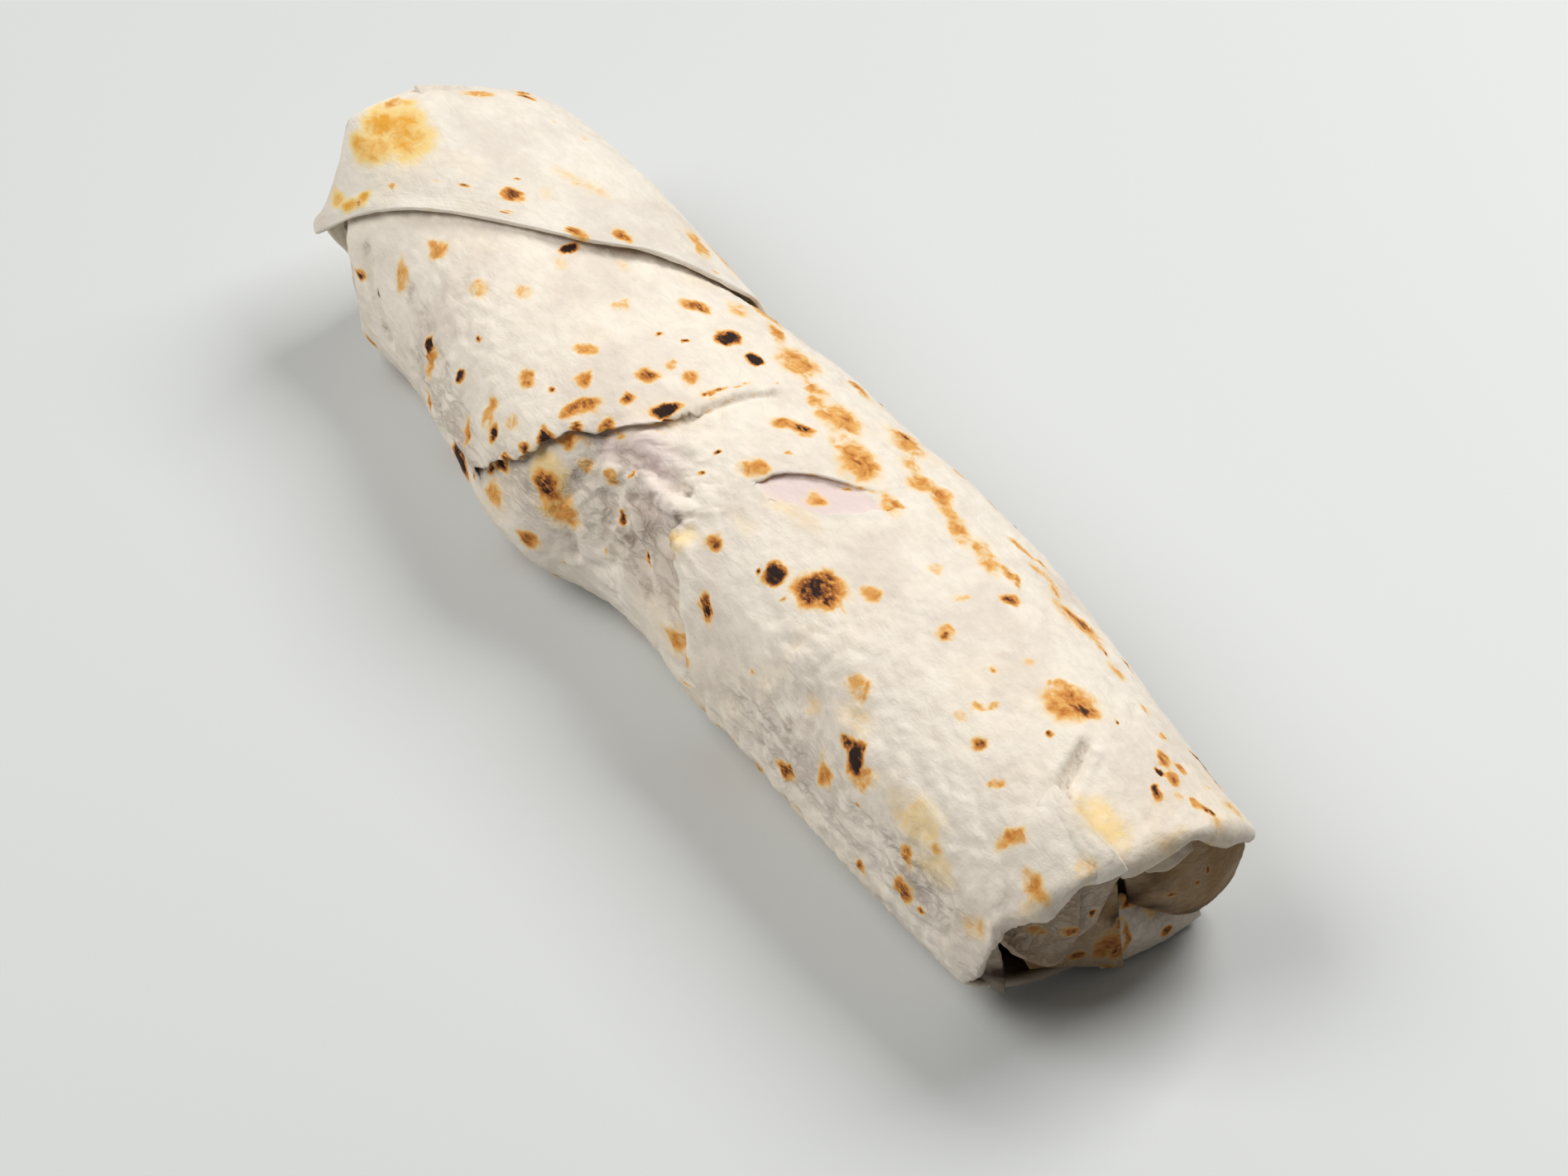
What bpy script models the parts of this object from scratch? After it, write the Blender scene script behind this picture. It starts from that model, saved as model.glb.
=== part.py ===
"""A rolled flatbread wrap, tucked in at both ends, lying on its flat underside.

The wrap is one piece of bread wound round its filling, so it is one solid. The long roll is a
tube whose rows of points double back wherever a layer of bread ends on top of the next one, which
gives each layer a true overhanging edge. The end flap and the leaves of bread folded into the two
ends are curved slabs, and one Boolean union joins them to the roll.

The form is worked out in millimetres. A place on the roll is given by its distance from the far
end and its angle round the roll: 0 on top, +90 on the -Y side, -90 on the +Y side, 180 below.
"""
import bmesh
import bpy
import numpy as np

NODE = "flatbread_wrap"
MM = 0.001

# The plain roll: half widths and height at a few distances from the far end.
STATIONS = (0, 20, 40, 60, 80, 100, 120, 140, 160, 180, 210, 240, 268)
FRONT_WIDTH = (33.1, 32.8, 32.8, 35.8, 39.5, 40.7, 33.8, 33.5, 34.0, 34.7, 35.4, 34.5, 32.4)
BACK_WIDTH = (33.7, 34.3, 34.3, 33.3, 32.2, 35.8, 38.1, 36.9, 38.4, 39.2, 36.0, 31.3, 29.3)
HEIGHT = (44, 47, 48, 49, 49, 50, 50, 51, 51, 51, 51, 50, 47)
MIDDLE = 134.0             # distance at which the frame's x is zero
WAIST = 0.46               # height of the widest line, as a share of the full height
TOP_ROUND = 2.15           # superellipse power above the waist
BOTTOM_ROUND = 3.0         # and below it, where the roll has settled
SETTLED = 1.4              # how much of the underside its own weight has pressed flat

# Both mouths, as (angle, distance) pairs.
FAR_MOUTH = ((-180, 6), (-120, 4), (-60, 2), (0, 3), (40, 7), (62, 12), (78, 19), (92, 22),
             (125, 18), (150, 9), (180, 6))
NEAR_MOUTH = ((-180, 252), (-150, 253), (-120, 254), (-90, 259), (-72, 264.5), (-55, 267), (0, 267.5),
              (30, 265), (52, 262), (62, 258), (75, 257.5), (90, 256), (105, 251), (135, 248),
              (160, 250), (180, 252))
# Half the thickness of the bread where it turns in at a mouth: full in the lobes of the upper lip,
# thin at the creases between them and down the sides.
LIP_RADIUS = ((-180, 1.2), (-60, 1.4), (-42, 2.4), (-28, 2.0), (-19, 1.1), (-8, 1.9), (6, 2.5),
              (18, 1.8), (27, 1.0), (36, 1.8), (50, 2.5), (64, 2.2), (80, 1.0), (180, 1.2))
LIP_START = 3.0            # where the bread begins to turn, behind the mouth's rim
MOUTH_DEPTH = 11.0         # how far the folded floor of a mouth lies behind its lip

# Edges of the bread layers, as (angle, distance) pairs, and the angles between which they stand up.
TORN_EDGE = ((-180, 110), (-90, 118), (-40, 121), (-12, 123), (0, 119.5), (15, 119), (30, 114),
             (45, 104), (60, 99), (77, 90), (86, 86), (110, 92), (140, 104), (180, 110))
TORN_SPAN = ((-14, 88),)
SPLIT_LEFT = ((-180, 140), (-60, 152), (-16, 160.5), (-11, 158), (-2.5, 150), (3, 145.6), (10, 144),
              (16, 143), (40, 131), (90, 126), (180, 140))
SPLIT_SPAN = ((-11, 13),)
OVERLAP_EDGE = ((-180, 170), (-60, 164), (-16, 167), (-11, 165), (-4.5, 163), (5, 158), (13, 150),
                (18, 148.5), (50, 138), (57, 143), (65, 149), (77, 154), (89, 160), (97, 166),
                (104, 172), (130, 176), (180, 170))
OVERLAP_SPAN = ((-11, 13), (47, 102))
LAYER_STEP = 2.4           # rise from one layer of bread to the next at its free edge
EDGE_RADIUS = 0.6          # half the thickness of a free edge
UNDERCUT = 2.0             # how far the gap reaches in below a free edge
SPLIT_DEPTH = 1.9          # depth of the split through which the layer below shows
LAP_LINE = 12.0            # angle of the fold that runs along the top to the near mouth
HEM = ((166, 97), (187, 103), (199, 106), (212, 110), (230, 115))   # the overlap's long lower edge

# Swellings and hollows: distance, angle, half length, half width, turn in degrees, height.
RELIEF = (
    (92, 98, 14, 8, 0, 1.6), (121, 60, 9, 9, 0, -1.4), (112, 40, 8, 4, 50, -1.3),
    (118, 32, 9, 3, 35, 1.2), (140, 54, 5, 5, 0, 1.6), (136, 66, 8, 5, 60, -1.6),
    (152, 96, 9, 6, 20, 1.1), (178, 36, 26, 10, 0, 0.8), (192, 56, 9, 6, 15, -1.1),
    (214, 62, 12, 8, 0, 0.9), (236, 72, 10, 5, 30, -0.9), (245, 4, 6, 3.5, 65, -2.2),
    (239, -12, 9, 7, 0, 1.0), (252, 22, 9, 6, 0, 1.3), (254, -16, 9, 8, 0, 0.7),
    (70, 40, 22, 12, 10, 0.8), (36, 76, 12, 7, 20, -1.2), (60, 66, 10, 8, 0, 0.8),
    (150, -60, 26, 12, 0, 0.9), (205, -50, 18, 10, 10, -0.8), (100, -70, 20, 10, 0, -0.8),
)
ARC = 0.62                 # mm round the roll for each degree, near enough for the relief

ROUND_SAMPLES = 52
FLAP_THICKNESS = 2.6
LEAF_THICKNESS = 2.0
CLEARANCE = 0.4            # height of the lowest leaf over the underside


def blend(place, pairs):
    """A smooth curve through (place, value) pairs, held level beyond its ends."""
    knots, values = np.array(pairs, float).T
    gaps = np.diff(knots)
    slopes = np.diff(values) / gaps
    inner = (slopes[:-1] * gaps[1:] + slopes[1:] * gaps[:-1]) / (gaps[:-1] + gaps[1:])
    inner = np.where(slopes[:-1] * slopes[1:] > 0, inner, 0.0)
    tangents = np.concatenate(([slopes[0]], inner, [slopes[-1]]))
    place = np.clip(place, knots[0], knots[-1])
    index = np.clip(np.searchsorted(knots, place, side="right") - 1, 0, len(gaps) - 1)
    gap = gaps[index]
    u = (place - knots[index]) / gap
    start = values[index] * (1 + 2 * u) * (1 - u) ** 2 + gap * tangents[index] * u * (1 - u) ** 2
    end = values[index + 1] * u * u * (3 - 2 * u) + gap * tangents[index + 1] * u * u * (u - 1)
    return start + end


def ease(value, low, high):
    """0 below low, 1 above high, and a smooth step between."""
    u = np.clip((value - low) / (high - low), 0.0, 1.0)
    return u * u * (3 - 2 * u)


def section(distance, angle):
    """A point on the plain roll."""
    front = blend(distance, tuple(zip(STATIONS, FRONT_WIDTH)))
    back = blend(distance, tuple(zip(STATIONS, BACK_WIDTH)))
    height = blend(distance, tuple(zip(STATIONS, HEIGHT))) + SETTLED
    turn = np.radians(angle)
    up, side = np.cos(turn), np.sin(turn)
    power = 2 / np.where(up > 0, TOP_ROUND, BOTTOM_ROUND)
    y = -np.where(side > 0, front, back) * np.sign(side) * np.abs(side) ** power
    reach = np.where(up > 0, (1 - WAIST) * height, WAIST * height)
    z = WAIST * height + reach * np.sign(up) * np.abs(up) ** power - SETTLED
    return np.stack([distance - MIDDLE, y, z], -1)


def skin(distance, angle, lift):
    """A point at some height over the plain roll, with the underside pressed flat."""
    distance, angle = np.broadcast_arrays(np.asarray(distance, float), np.asarray(angle, float))
    along = section(distance, angle + 1.0) - section(distance, angle - 1.0)
    outward = np.stack([np.zeros_like(angle), along[..., 2], -along[..., 1]], -1)
    outward /= np.linalg.norm(outward, axis=-1, keepdims=True)
    point = section(distance, angle) + outward * np.asarray(lift)[..., None]
    point[..., 2] = np.maximum(point[..., 2], 0.0)
    return point


def relief(distance, angle):
    """Height of the swellings, hollows and the step along the overlap's lower edge."""
    height = np.zeros_like(distance)
    for place, turn, long, wide, slant, rise in RELIEF:
        across = (angle - turn) * ARC
        cosine, sine = np.cos(np.radians(slant)), np.sin(np.radians(slant))
        u = ((distance - place) * cosine + across * sine) / long
        v = (across * cosine - (distance - place) * sine) / wide
        height += rise * np.exp(-u * u - v * v)
    below = ease(angle - blend(distance, HEM), 0.0, 4.0)
    height -= 1.3 * below * ease(distance, 166, 174) * (1 - ease(distance, 226, 244))
    lapped = ease(angle, LAP_LINE, LAP_LINE + 3) * (1 - ease(angle, LAP_LINE + 14, LAP_LINE + 42))
    height += 1.5 * lapped * ease(distance, 243, 252)
    return height * (1 - ease(np.abs(angle), 118, 140))


def standing(angle, spans):
    """1 where a layer's edge stands up, 0 where it has grown into the layer below."""
    amount = np.zeros_like(angle)
    for low, high in spans:
        amount = np.maximum(amount, ease(angle, low - 4, low + 4) * (1 - ease(angle, high - 4, high + 4)))
    return amount


def fold(edge, upper, lower, amount, facing):
    """Tracks (distance, lift) that run over a free edge, back below it and out on the next layer.

    facing is +1 where the upper layer ends towards the near end and -1 where it begins there.
    """
    turns = np.radians((90, 35, -35, -90))
    offsets = [EDGE_RADIUS * (np.cos(turn) - 1) for turn in turns]
    offsets += [-UNDERCUT, -UNDERCUT - 0.2, 0.8]
    offsets[0] -= 0.8
    heights = [upper - EDGE_RADIUS * (1 - np.sin(turn)) for turn in turns]
    heights += [upper - 2.2 * EDGE_RADIUS, lower + 0.1, lower]
    level = np.linspace(-1.5, 1.5, len(offsets))
    plain = np.linspace(1.0, 0.0, len(offsets))
    tracks = []
    for offset, height, flat, share in zip(offsets, heights, level, plain):
        place = edge + facing * (amount * offset + (1 - amount) * flat)
        tracks.append((place, amount * height + (1 - amount) * (share * upper + (1 - share) * lower)))
    return tracks if facing > 0 else tracks[::-1]


def spread(start, end, count):
    """Tracks evenly spaced between two tracks."""
    shares = np.linspace(0, 1, count + 2)[1:-1]
    return [tuple(a + (b - a) * share for a, b in zip(start, end)) for share in shares]


def mouth(rim, angle, inward):
    """Rows of points that turn in over a mouth's lip and close its folded floor."""
    rows = []
    radius = blend(angle, LIP_RADIUS)
    for turn in np.radians((60, 20, -30, -80)):
        place = rim + inward * radius * (1 - np.cos(turn))
        rows.append(skin(place, angle, -radius * (1 - np.sin(turn)) + relief(place, angle)))
    wall = skin(rim + inward * MOUTH_DEPTH, angle, -2 * radius - 0.4)
    centre = wall.mean(axis=0)
    rows += [centre + (wall - centre) * share for share in (1.0, 0.72, 0.4, 0.0)]
    return rows


def equal_angles(count):
    """Angles that divide the middle section of the roll into equal lengths."""
    fine = np.linspace(-180, 180, 1441)
    points = section(np.full_like(fine, 150.0), fine)
    length = np.concatenate(([0], np.cumsum(np.linalg.norm(np.diff(points, axis=0), axis=1))))
    return np.interp(np.linspace(0, length[-1], count + 1), length, fine)


def roll_rows():
    """All rows of points of the roll, from the floor of the far mouth to that of the near one."""
    angle = equal_angles(ROUND_SAMPLES)
    level = np.zeros_like(angle)
    torn, split = blend(angle, TORN_EDGE), blend(angle, SPLIT_LEFT)
    overlap, far, near = blend(angle, OVERLAP_EDGE), blend(angle, FAR_MOUTH), blend(angle, NEAR_MOUTH)
    torn_up, split_up = standing(angle, TORN_SPAN), standing(angle, SPLIT_SPAN)
    overlap_up = standing(angle, OVERLAP_SPAN)
    edges = (fold(torn, level + LAYER_STEP * torn_up, level, torn_up, 1),
             fold(split, level, level - SPLIT_DEPTH * split_up, split_up, 1),
             fold(overlap, level, level - SPLIT_DEPTH * overlap_up, overlap_up, -1))
    tracks = [(far + LIP_START, level)]
    for edge, count in zip(edges, (9, 4, 1)):
        tracks += spread(tracks[-1], edge[0], count) + edge
    finish = (near - LIP_START, level)
    tracks += spread(tracks[-1], finish, 13) + [finish]
    outside = [skin(place, angle, lift + relief(place, angle)) for place, lift in tracks]
    return mouth(far, angle, 1)[::-1] + outside + mouth(near, angle, -1)


def add_roll(collection, material):
    """The roll as one closed tube."""
    rows = roll_rows()
    mesh = bmesh.new()
    columns = ROUND_SAMPLES + 1
    grid = bmesh.ops.create_grid(mesh, x_segments=columns - 1, y_segments=len(rows) - 1, size=1.0)
    verts = sorted(grid["verts"], key=lambda vert: (round(vert.co.y, 5), round(vert.co.x, 5)))
    for index, vert in enumerate(verts):
        vert.co = rows[index // columns][index % columns] * MM
    seam = {verts[row * columns + columns - 1]: verts[row * columns] for row in range(len(rows))}
    ends = verts[1:columns] + verts[-columns + 1:]
    poles = {vert: verts[0] if vert in set(verts[:columns]) else verts[-columns] for vert in ends}
    bmesh.ops.weld_verts(mesh, targetmap=seam | poles)
    return finish_slab(collection, "roll", mesh, material)


def curve(points, count):
    """Points evenly spaced along a smooth curve through the given ones."""
    points = np.asarray(points, float)
    places = np.linspace(0, len(points) - 1, count)
    knots = np.arange(len(points))
    flat = points.reshape(len(points), -1)
    columns = [blend(places, np.stack([knots, column], -1)) for column in flat.T]
    return np.stack(columns, -1).reshape((count,) + points.shape[1:])


def add_leaf(collection, name, net, size, thickness, material):
    """A curved slab whose outer face passes through a net of points."""
    rows, columns = size
    face = curve(np.swapaxes(curve(net, rows), 0, 1), columns)
    mesh = bmesh.new()
    grid = bmesh.ops.create_grid(mesh, x_segments=columns - 1, y_segments=rows - 1, size=1.0)
    verts = sorted(grid["verts"], key=lambda vert: (round(vert.co.x, 5), round(vert.co.y, 5)))
    for index, vert in enumerate(verts):
        vert.co = face[index // rows][index % rows] * MM
    bmesh.ops.recalc_face_normals(mesh, faces=mesh.faces)
    centre = sum((face.calc_center_median() for face in mesh.faces), mesh.faces[:][0].normal * 0)
    centre /= len(mesh.faces)
    outward = sum(face.normal.dot(face.calc_center_median() - inner_point(centre)) for face in mesh.faces)
    if outward < 0:
        bmesh.ops.reverse_faces(mesh, faces=mesh.faces)
    bmesh.ops.solidify(mesh, geom=mesh.faces[:] + mesh.edges[:] + mesh.verts[:], thickness=thickness * MM)
    for vert in mesh.verts:
        vert.co.z = max(vert.co.z, CLEARANCE * MM)
    return finish_slab(collection, name, mesh, material)


def inner_point(centre):
    """A point well inside the roll, level with a leaf that lies over it."""
    inside = centre.copy()
    inside.x *= 0.6
    inside.y = 0
    inside.z = 0.02
    return inside


def finish_slab(collection, name, mesh, material):
    """Turn a closed bmesh into an object."""
    bmesh.ops.recalc_face_normals(mesh, faces=mesh.faces)
    data = bpy.data.meshes.new(name)
    mesh.to_mesh(data)
    mesh.free()
    data.materials.append(material)
    thing = bpy.data.objects.new(name, data)
    collection.objects.link(thing)
    return thing


def on_skin(*places):
    """A row of a net, given as distance, angle and lift."""
    return [skin(distance, angle, float(lift)) for distance, angle, lift in places]


def in_space(*places):
    """A row of a net, given as distance, y and z."""
    return [np.array([distance - MIDDLE, y, z], float) for distance, y, z in places]


def flap_net():
    """The end flap: up the far end, over its ridge and back along the top to its hem."""
    return [
        in_space((10, -20, 12), (8, -18, 12), (6, -12, 11), (5, -4, 10), (5, 6, 10), (5, 16, 10),
                 (6, 21, 11), (8, 22, 9)),
        in_space((1, -27.5, 23), (0, -22.5, 37), (-1.5, -17.5, 50), (-2, -5, 48.7), (-1, 7, 44.3),
                 (0, 21, 38.3), (1, 29, 31), (3, 33, 18)),
        on_skin((3, 66, 0.5), (8, 50, 2.5), (14, 30, 5), (24, 5, 3.6), (30, -16, 3.2), (34, -38, 3),
                (34, -62, 3), (14, -94, 2.6)),
        on_skin((4, 69, 1.6), (14, 48, 3.2), (24, 30, 3.2), (43, 4, 3), (52, -18, 3), (59, -42, 3),
                (60, -66, 3), (22, -100, 2.6)),
        on_skin((6, 71, 2.4), (20, 45, 3.2), (34, 26, 3.2), (61, -1, 3.2), (73, -21, 3.4), (84, -45, 3),
                (87, -68, 2.8), (30, -108, 2.4)),
    ]


LEAVES = {
    "near_right_panel": (
        in_space((260, -3, 38), (263, 8, 42), (264, 18, 41), (263.5, 28, 34)),
        in_space((259.5, -1, 29), (264, 8, 27), (265, 17, 26), (263, 28.5, 25)),
        in_space((257, 2, 20), (262, 9, 15.5), (263, 17, 12.5), (260, 27, 13)),
        in_space((251, 6, 14), (255, 11, 8), (256.5, 16, 5), (256, 23.5, 3.2))),
    "near_base_panel": (
        in_space((253, 1, 20), (252, 9, 15), (251, 18, 8)),
        in_space((257.5, 1.5, 10), (257, 9, 7), (256, 17, 4)),
        in_space((258, 1, 1.5), (257.5, 10, 1.5), (256, 20, 1.5))),
    "near_lower_layer": (
        in_space((250, -22, 24), (256, -12, 30), (261, -4, 33)),
        in_space((250.5, -20, 14), (256, -9, 16), (260, -2, 16)),
        in_space((251, -17, 6), (255, -7.5, 4), (258.5, 0.5, 1.5))),
    "near_pouch": (
        in_space((254, -30, 34), (257, -25, 39), (260, -18, 42), (262, -14, 43)),
        in_space((252, -29, 30), (253.5, -23.5, 28), (257, -18, 31), (261.5, -13.5, 36)),
        in_space((256, -28, 28), (257.5, -23, 19.5), (259, -17, 14.8), (260.5, -12.5, 22))),
    "near_pouch_fold": (
        in_space((256, -16, 41), (260, -10, 41.5), (262, -4, 37)),
        in_space((255, -15, 33), (259, -11, 31), (261.5, -6.5, 31)),
        in_space((256, -15, 22), (259, -12, 20.5), (261, -9, 24.5))),
    "near_tongue": (
        in_space((262, -2, 43), (263, 5, 44.5), (263, 11, 44)),
        in_space((265.5, -0.5, 38.5), (267, 4, 37.8), (267, 9.5, 40))),
    "near_left_panel": (
        in_space((252, -30, 27), (254, -28.5, 25)),
        in_space((247, -30.5, 14), (253, -25.2, 13)),
        in_space((242, -27, 2.5), (250.5, -22.7, 1.5))),
    "far_front_tuck": (
        in_space((12, -30, 30), (4, -20, 33), (2, -8, 36)),
        in_space((17, -31, 20), (6, -18, 20), (3, -5, 21)),
        in_space((16, -26, 6), (8, -15, 6), (7, -4, 7))),
    "far_back_tuck": (
        in_space((3, 5, 30), (3, 18, 29), (7, 29, 26)),
        in_space((4, 2, 18), (3, 16, 18), (7, 31, 18)),
        in_space((7, 4, 6), (6, 16, 4), (8, 28, 5))),
    "far_tab": (
        in_space((2, -2.6, 45), (2, 9, 40), (2, 21, 35)),
        in_space((1, -2.6, 52.6), (0.5, 9, 46.2), (1, 21, 39.8))),
}
LEAF_SIZE = (6, 7)
FLAP_SIZE = (14, 16)


def bread_material():
    """Pale, matt, lightly toasted bread."""
    material = bpy.data.materials.new("flatbread")
    material.use_nodes = True
    shader = material.node_tree.nodes["Principled BSDF"]
    shader.inputs["Base Color"].default_value = (0.79, 0.71, 0.60, 1.0)
    shader.inputs["Roughness"].default_value = 0.75
    shader.inputs["Metallic"].default_value = 0.0
    return material


def unite(collection):
    """Join every slab of the collection to the first one, then drop what the union sealed in."""
    whole = collection.objects["roll"]
    slabs = bpy.data.collections.new("slabs")
    bpy.context.scene.collection.children.link(slabs)
    for thing in list(collection.objects):
        if thing is not whole:
            collection.objects.unlink(thing)
            slabs.objects.link(thing)
    union = whole.modifiers.new("union", "BOOLEAN")
    union.operation = "UNION"
    union.solver = "EXACT"
    union.operand_type = "COLLECTION"
    union.collection = slabs
    bpy.context.view_layer.update()
    joined = bpy.data.meshes.new_from_object(whole.evaluated_get(bpy.context.evaluated_depsgraph_get()))
    whole.modifiers.clear()
    whole.data = joined
    for thing in list(slabs.objects):
        bpy.data.objects.remove(thing)
    bpy.data.collections.remove(slabs)
    whole.name = joined.name = NODE
    return whole


def shells(mesh):
    """The connected pieces of a mesh, as lists of vertices."""
    left, found = set(mesh.verts), []
    while left:
        piece, front = [], [left.pop()]
        while front:
            vert = front.pop()
            piece.append(vert)
            for edge in vert.link_edges:
                other = edge.other_vert(vert)
                if other in left:
                    left.discard(other)
                    front.append(other)
        found.append(piece)
    return found


def clean(whole):
    """Keep the one outer shell, make the flat underside a single face and centre the wrap."""
    mesh = bmesh.new()
    mesh.from_mesh(whole.data)
    for piece in sorted(shells(mesh), key=len)[:-1]:
        bmesh.ops.delete(mesh, geom=piece, context="VERTS")
    flat = [face for face in mesh.faces if all(vert.co.z < 1e-7 for vert in face.verts)]
    bmesh.ops.dissolve_faces(mesh, faces=flat, use_verts=False)
    bmesh.ops.triangulate(mesh, faces=mesh.faces)
    places = np.array([vert.co for vert in mesh.verts])
    low, high = places.min(axis=0), places.max(axis=0)
    bmesh.ops.translate(mesh, verts=mesh.verts, vec=(-(low[0] + high[0]) / 2, -(low[1] + high[1]) / 2, -low[2]))
    mesh.to_mesh(whole.data)
    mesh.free()
    whole.data.shade_smooth()
    whole.data.set_sharp_from_angle(angle=0.7)


def build():
    """Clear the scene and model the wrap."""
    for thing in list(bpy.data.objects):
        bpy.data.objects.remove(thing)
    collection = bpy.context.scene.collection
    material = bread_material()
    add_roll(collection, material)
    add_leaf(collection, "flap", flap_net(), FLAP_SIZE, FLAP_THICKNESS, material)
    for name, net in LEAVES.items():
        add_leaf(collection, name, net, LEAF_SIZE, LEAF_THICKNESS, material)
    clean(unite(collection))


build()
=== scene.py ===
# %% [markdown]
# # A rolled flatbread wrap
# The real thing is one thin sheet of soft, lightly toasted bread, wound round its filling, folded
# over at one end and tucked in at the other. Everything that can be seen is bread: its layers, the
# torn edge where one turn stops, the split that shows the turn below, and the leaves folded into
# the ends. The script makes each of these as its own thin piece, then bakes the brown marks on.

# %% Load the frame
import math

import bmesh
import bpy
import numpy as np
from mathutils import Matrix, Vector, noise


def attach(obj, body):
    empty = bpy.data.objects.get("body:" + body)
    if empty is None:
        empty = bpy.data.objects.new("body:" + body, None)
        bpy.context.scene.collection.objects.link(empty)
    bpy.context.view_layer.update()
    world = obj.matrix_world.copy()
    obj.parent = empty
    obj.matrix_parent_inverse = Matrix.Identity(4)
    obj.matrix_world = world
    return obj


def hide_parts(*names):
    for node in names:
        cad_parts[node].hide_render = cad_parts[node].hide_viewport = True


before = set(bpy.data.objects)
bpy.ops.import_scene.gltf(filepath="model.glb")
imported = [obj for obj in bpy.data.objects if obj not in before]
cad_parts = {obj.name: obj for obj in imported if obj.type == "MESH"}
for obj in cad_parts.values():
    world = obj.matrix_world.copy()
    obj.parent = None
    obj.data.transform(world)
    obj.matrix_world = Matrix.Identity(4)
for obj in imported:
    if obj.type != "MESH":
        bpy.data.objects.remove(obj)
NODE = "flatbread_wrap"
NOISE_SEED = 5
noise.seed_set(NOISE_SEED)     # unseeded, noise_vector starts from the clock and the marks differ each run
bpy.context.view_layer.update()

# %% [markdown]
# ## Curves through a few values
# Bread has no straight lines, yet its form follows from a handful of sizes. A cubic curve through
# a few (place, value) pairs gives widths, heights and edges that flow. Its slopes are held back
# where the values turn, so that it never overshoots them.

# %% Curves and steps
MM = 0.001


def blend(place, pairs):
    """A smooth curve through (place, value) pairs, held level beyond its ends."""
    knots, values = np.array(pairs, float).T
    gaps = np.diff(knots)
    slopes = np.diff(values) / gaps
    inner = (slopes[:-1] * gaps[1:] + slopes[1:] * gaps[:-1]) / (gaps[:-1] + gaps[1:])
    inner = np.where(slopes[:-1] * slopes[1:] > 0, inner, 0.0)
    tangents = np.concatenate(([slopes[0]], inner, [slopes[-1]]))
    place = np.clip(place, knots[0], knots[-1])
    index = np.clip(np.searchsorted(knots, place, side="right") - 1, 0, len(gaps) - 1)
    gap = gaps[index]
    u = (place - knots[index]) / gap
    start = values[index] * (1 + 2 * u) * (1 - u) ** 2 + gap * tangents[index] * u * (1 - u) ** 2
    end = values[index + 1] * u * u * (3 - 2 * u) + gap * tangents[index + 1] * u * u * (u - 1)
    return start + end


def ease(value, low, high):
    """0 below low, 1 above high, and a smooth step between."""
    u = np.clip((value - low) / (high - low), 0.0, 1.0)
    return u * u * (3 - 2 * u)


print("a curve through 0, 2, 1 passes", blend(np.array([0.5, 1.5]), ((0, 0), (1, 2), (2, 1))))

# %% [markdown]
# ## The plain roll
# A place on the roll is given by its distance from the far end in millimetres and its angle round
# the roll: 0 on top, +90 on the side with the torn edge, -90 on the other side, 180 underneath. The
# cross section is a superellipse, rounder above and flatter below, where the roll has settled.

# %% The roll's sizes and its skin
STATIONS = (0, 20, 40, 60, 80, 100, 120, 140, 160, 180, 210, 240, 268)
FRONT_WIDTH = (33.1, 32.8, 32.8, 35.8, 39.5, 40.7, 33.8, 33.5, 34.0, 34.7, 35.4, 34.5, 32.4)
BACK_WIDTH = (33.7, 34.3, 34.3, 33.3, 32.2, 35.8, 38.1, 36.9, 38.4, 39.2, 36.0, 31.3, 29.3)
HEIGHT = (44, 47, 48, 49, 49, 50, 50, 51, 51, 51, 51, 50, 47)
MIDDLE = 134.0
WAIST = 0.46
TOP_ROUND = 2.15
BOTTOM_ROUND = 3.0
SETTLED = 1.4
FRAME_SHIFT = np.array([0.95, 1.5, 0.0])     # from the roll's own middle to the middle of its box


def section(distance, angle):
    """A point on the plain roll."""
    front = blend(distance, tuple(zip(STATIONS, FRONT_WIDTH)))
    back = blend(distance, tuple(zip(STATIONS, BACK_WIDTH)))
    height = blend(distance, tuple(zip(STATIONS, HEIGHT))) + SETTLED
    turn = np.radians(angle)
    up, side = np.cos(turn), np.sin(turn)
    power = 2 / np.where(up > 0, TOP_ROUND, BOTTOM_ROUND)
    y = -np.where(side > 0, front, back) * np.sign(side) * np.abs(side) ** power
    reach = np.where(up > 0, (1 - WAIST) * height, WAIST * height)
    z = WAIST * height + reach * np.sign(up) * np.abs(up) ** power - SETTLED
    return np.stack([distance - MIDDLE, y, z], -1) + FRAME_SHIFT


def outward(distance, angle):
    """The direction that leads straight out of the roll."""
    along = section(distance, angle + 1.0) - section(distance, angle - 1.0)
    normal = np.stack([np.zeros_like(angle), along[..., 2], -along[..., 1]], -1)
    return normal / np.linalg.norm(normal, axis=-1, keepdims=True)


def skin(distance, angle, lift):
    """A point at some height over the plain roll, with the underside pressed flat."""
    distance, angle = np.broadcast_arrays(np.asarray(distance, float), np.asarray(angle, float))
    point = section(distance, angle) + outward(distance, angle) * np.asarray(lift)[..., None]
    point[..., 2] = np.maximum(point[..., 2], 0.0)
    return point


print("top of the middle of the roll:", np.round(skin(134, 0, 0.0), 1), "mm")

# %% [markdown]
# ## Creases and swellings
# Soft bread takes the shape of what is under it, and puckers where it was pulled round. Each
# swelling is a smooth mound, and each crease a line of places with a width: a ridge where its rise
# is positive and a furrow where it is negative. Both only add to the height over the plain roll.

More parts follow.
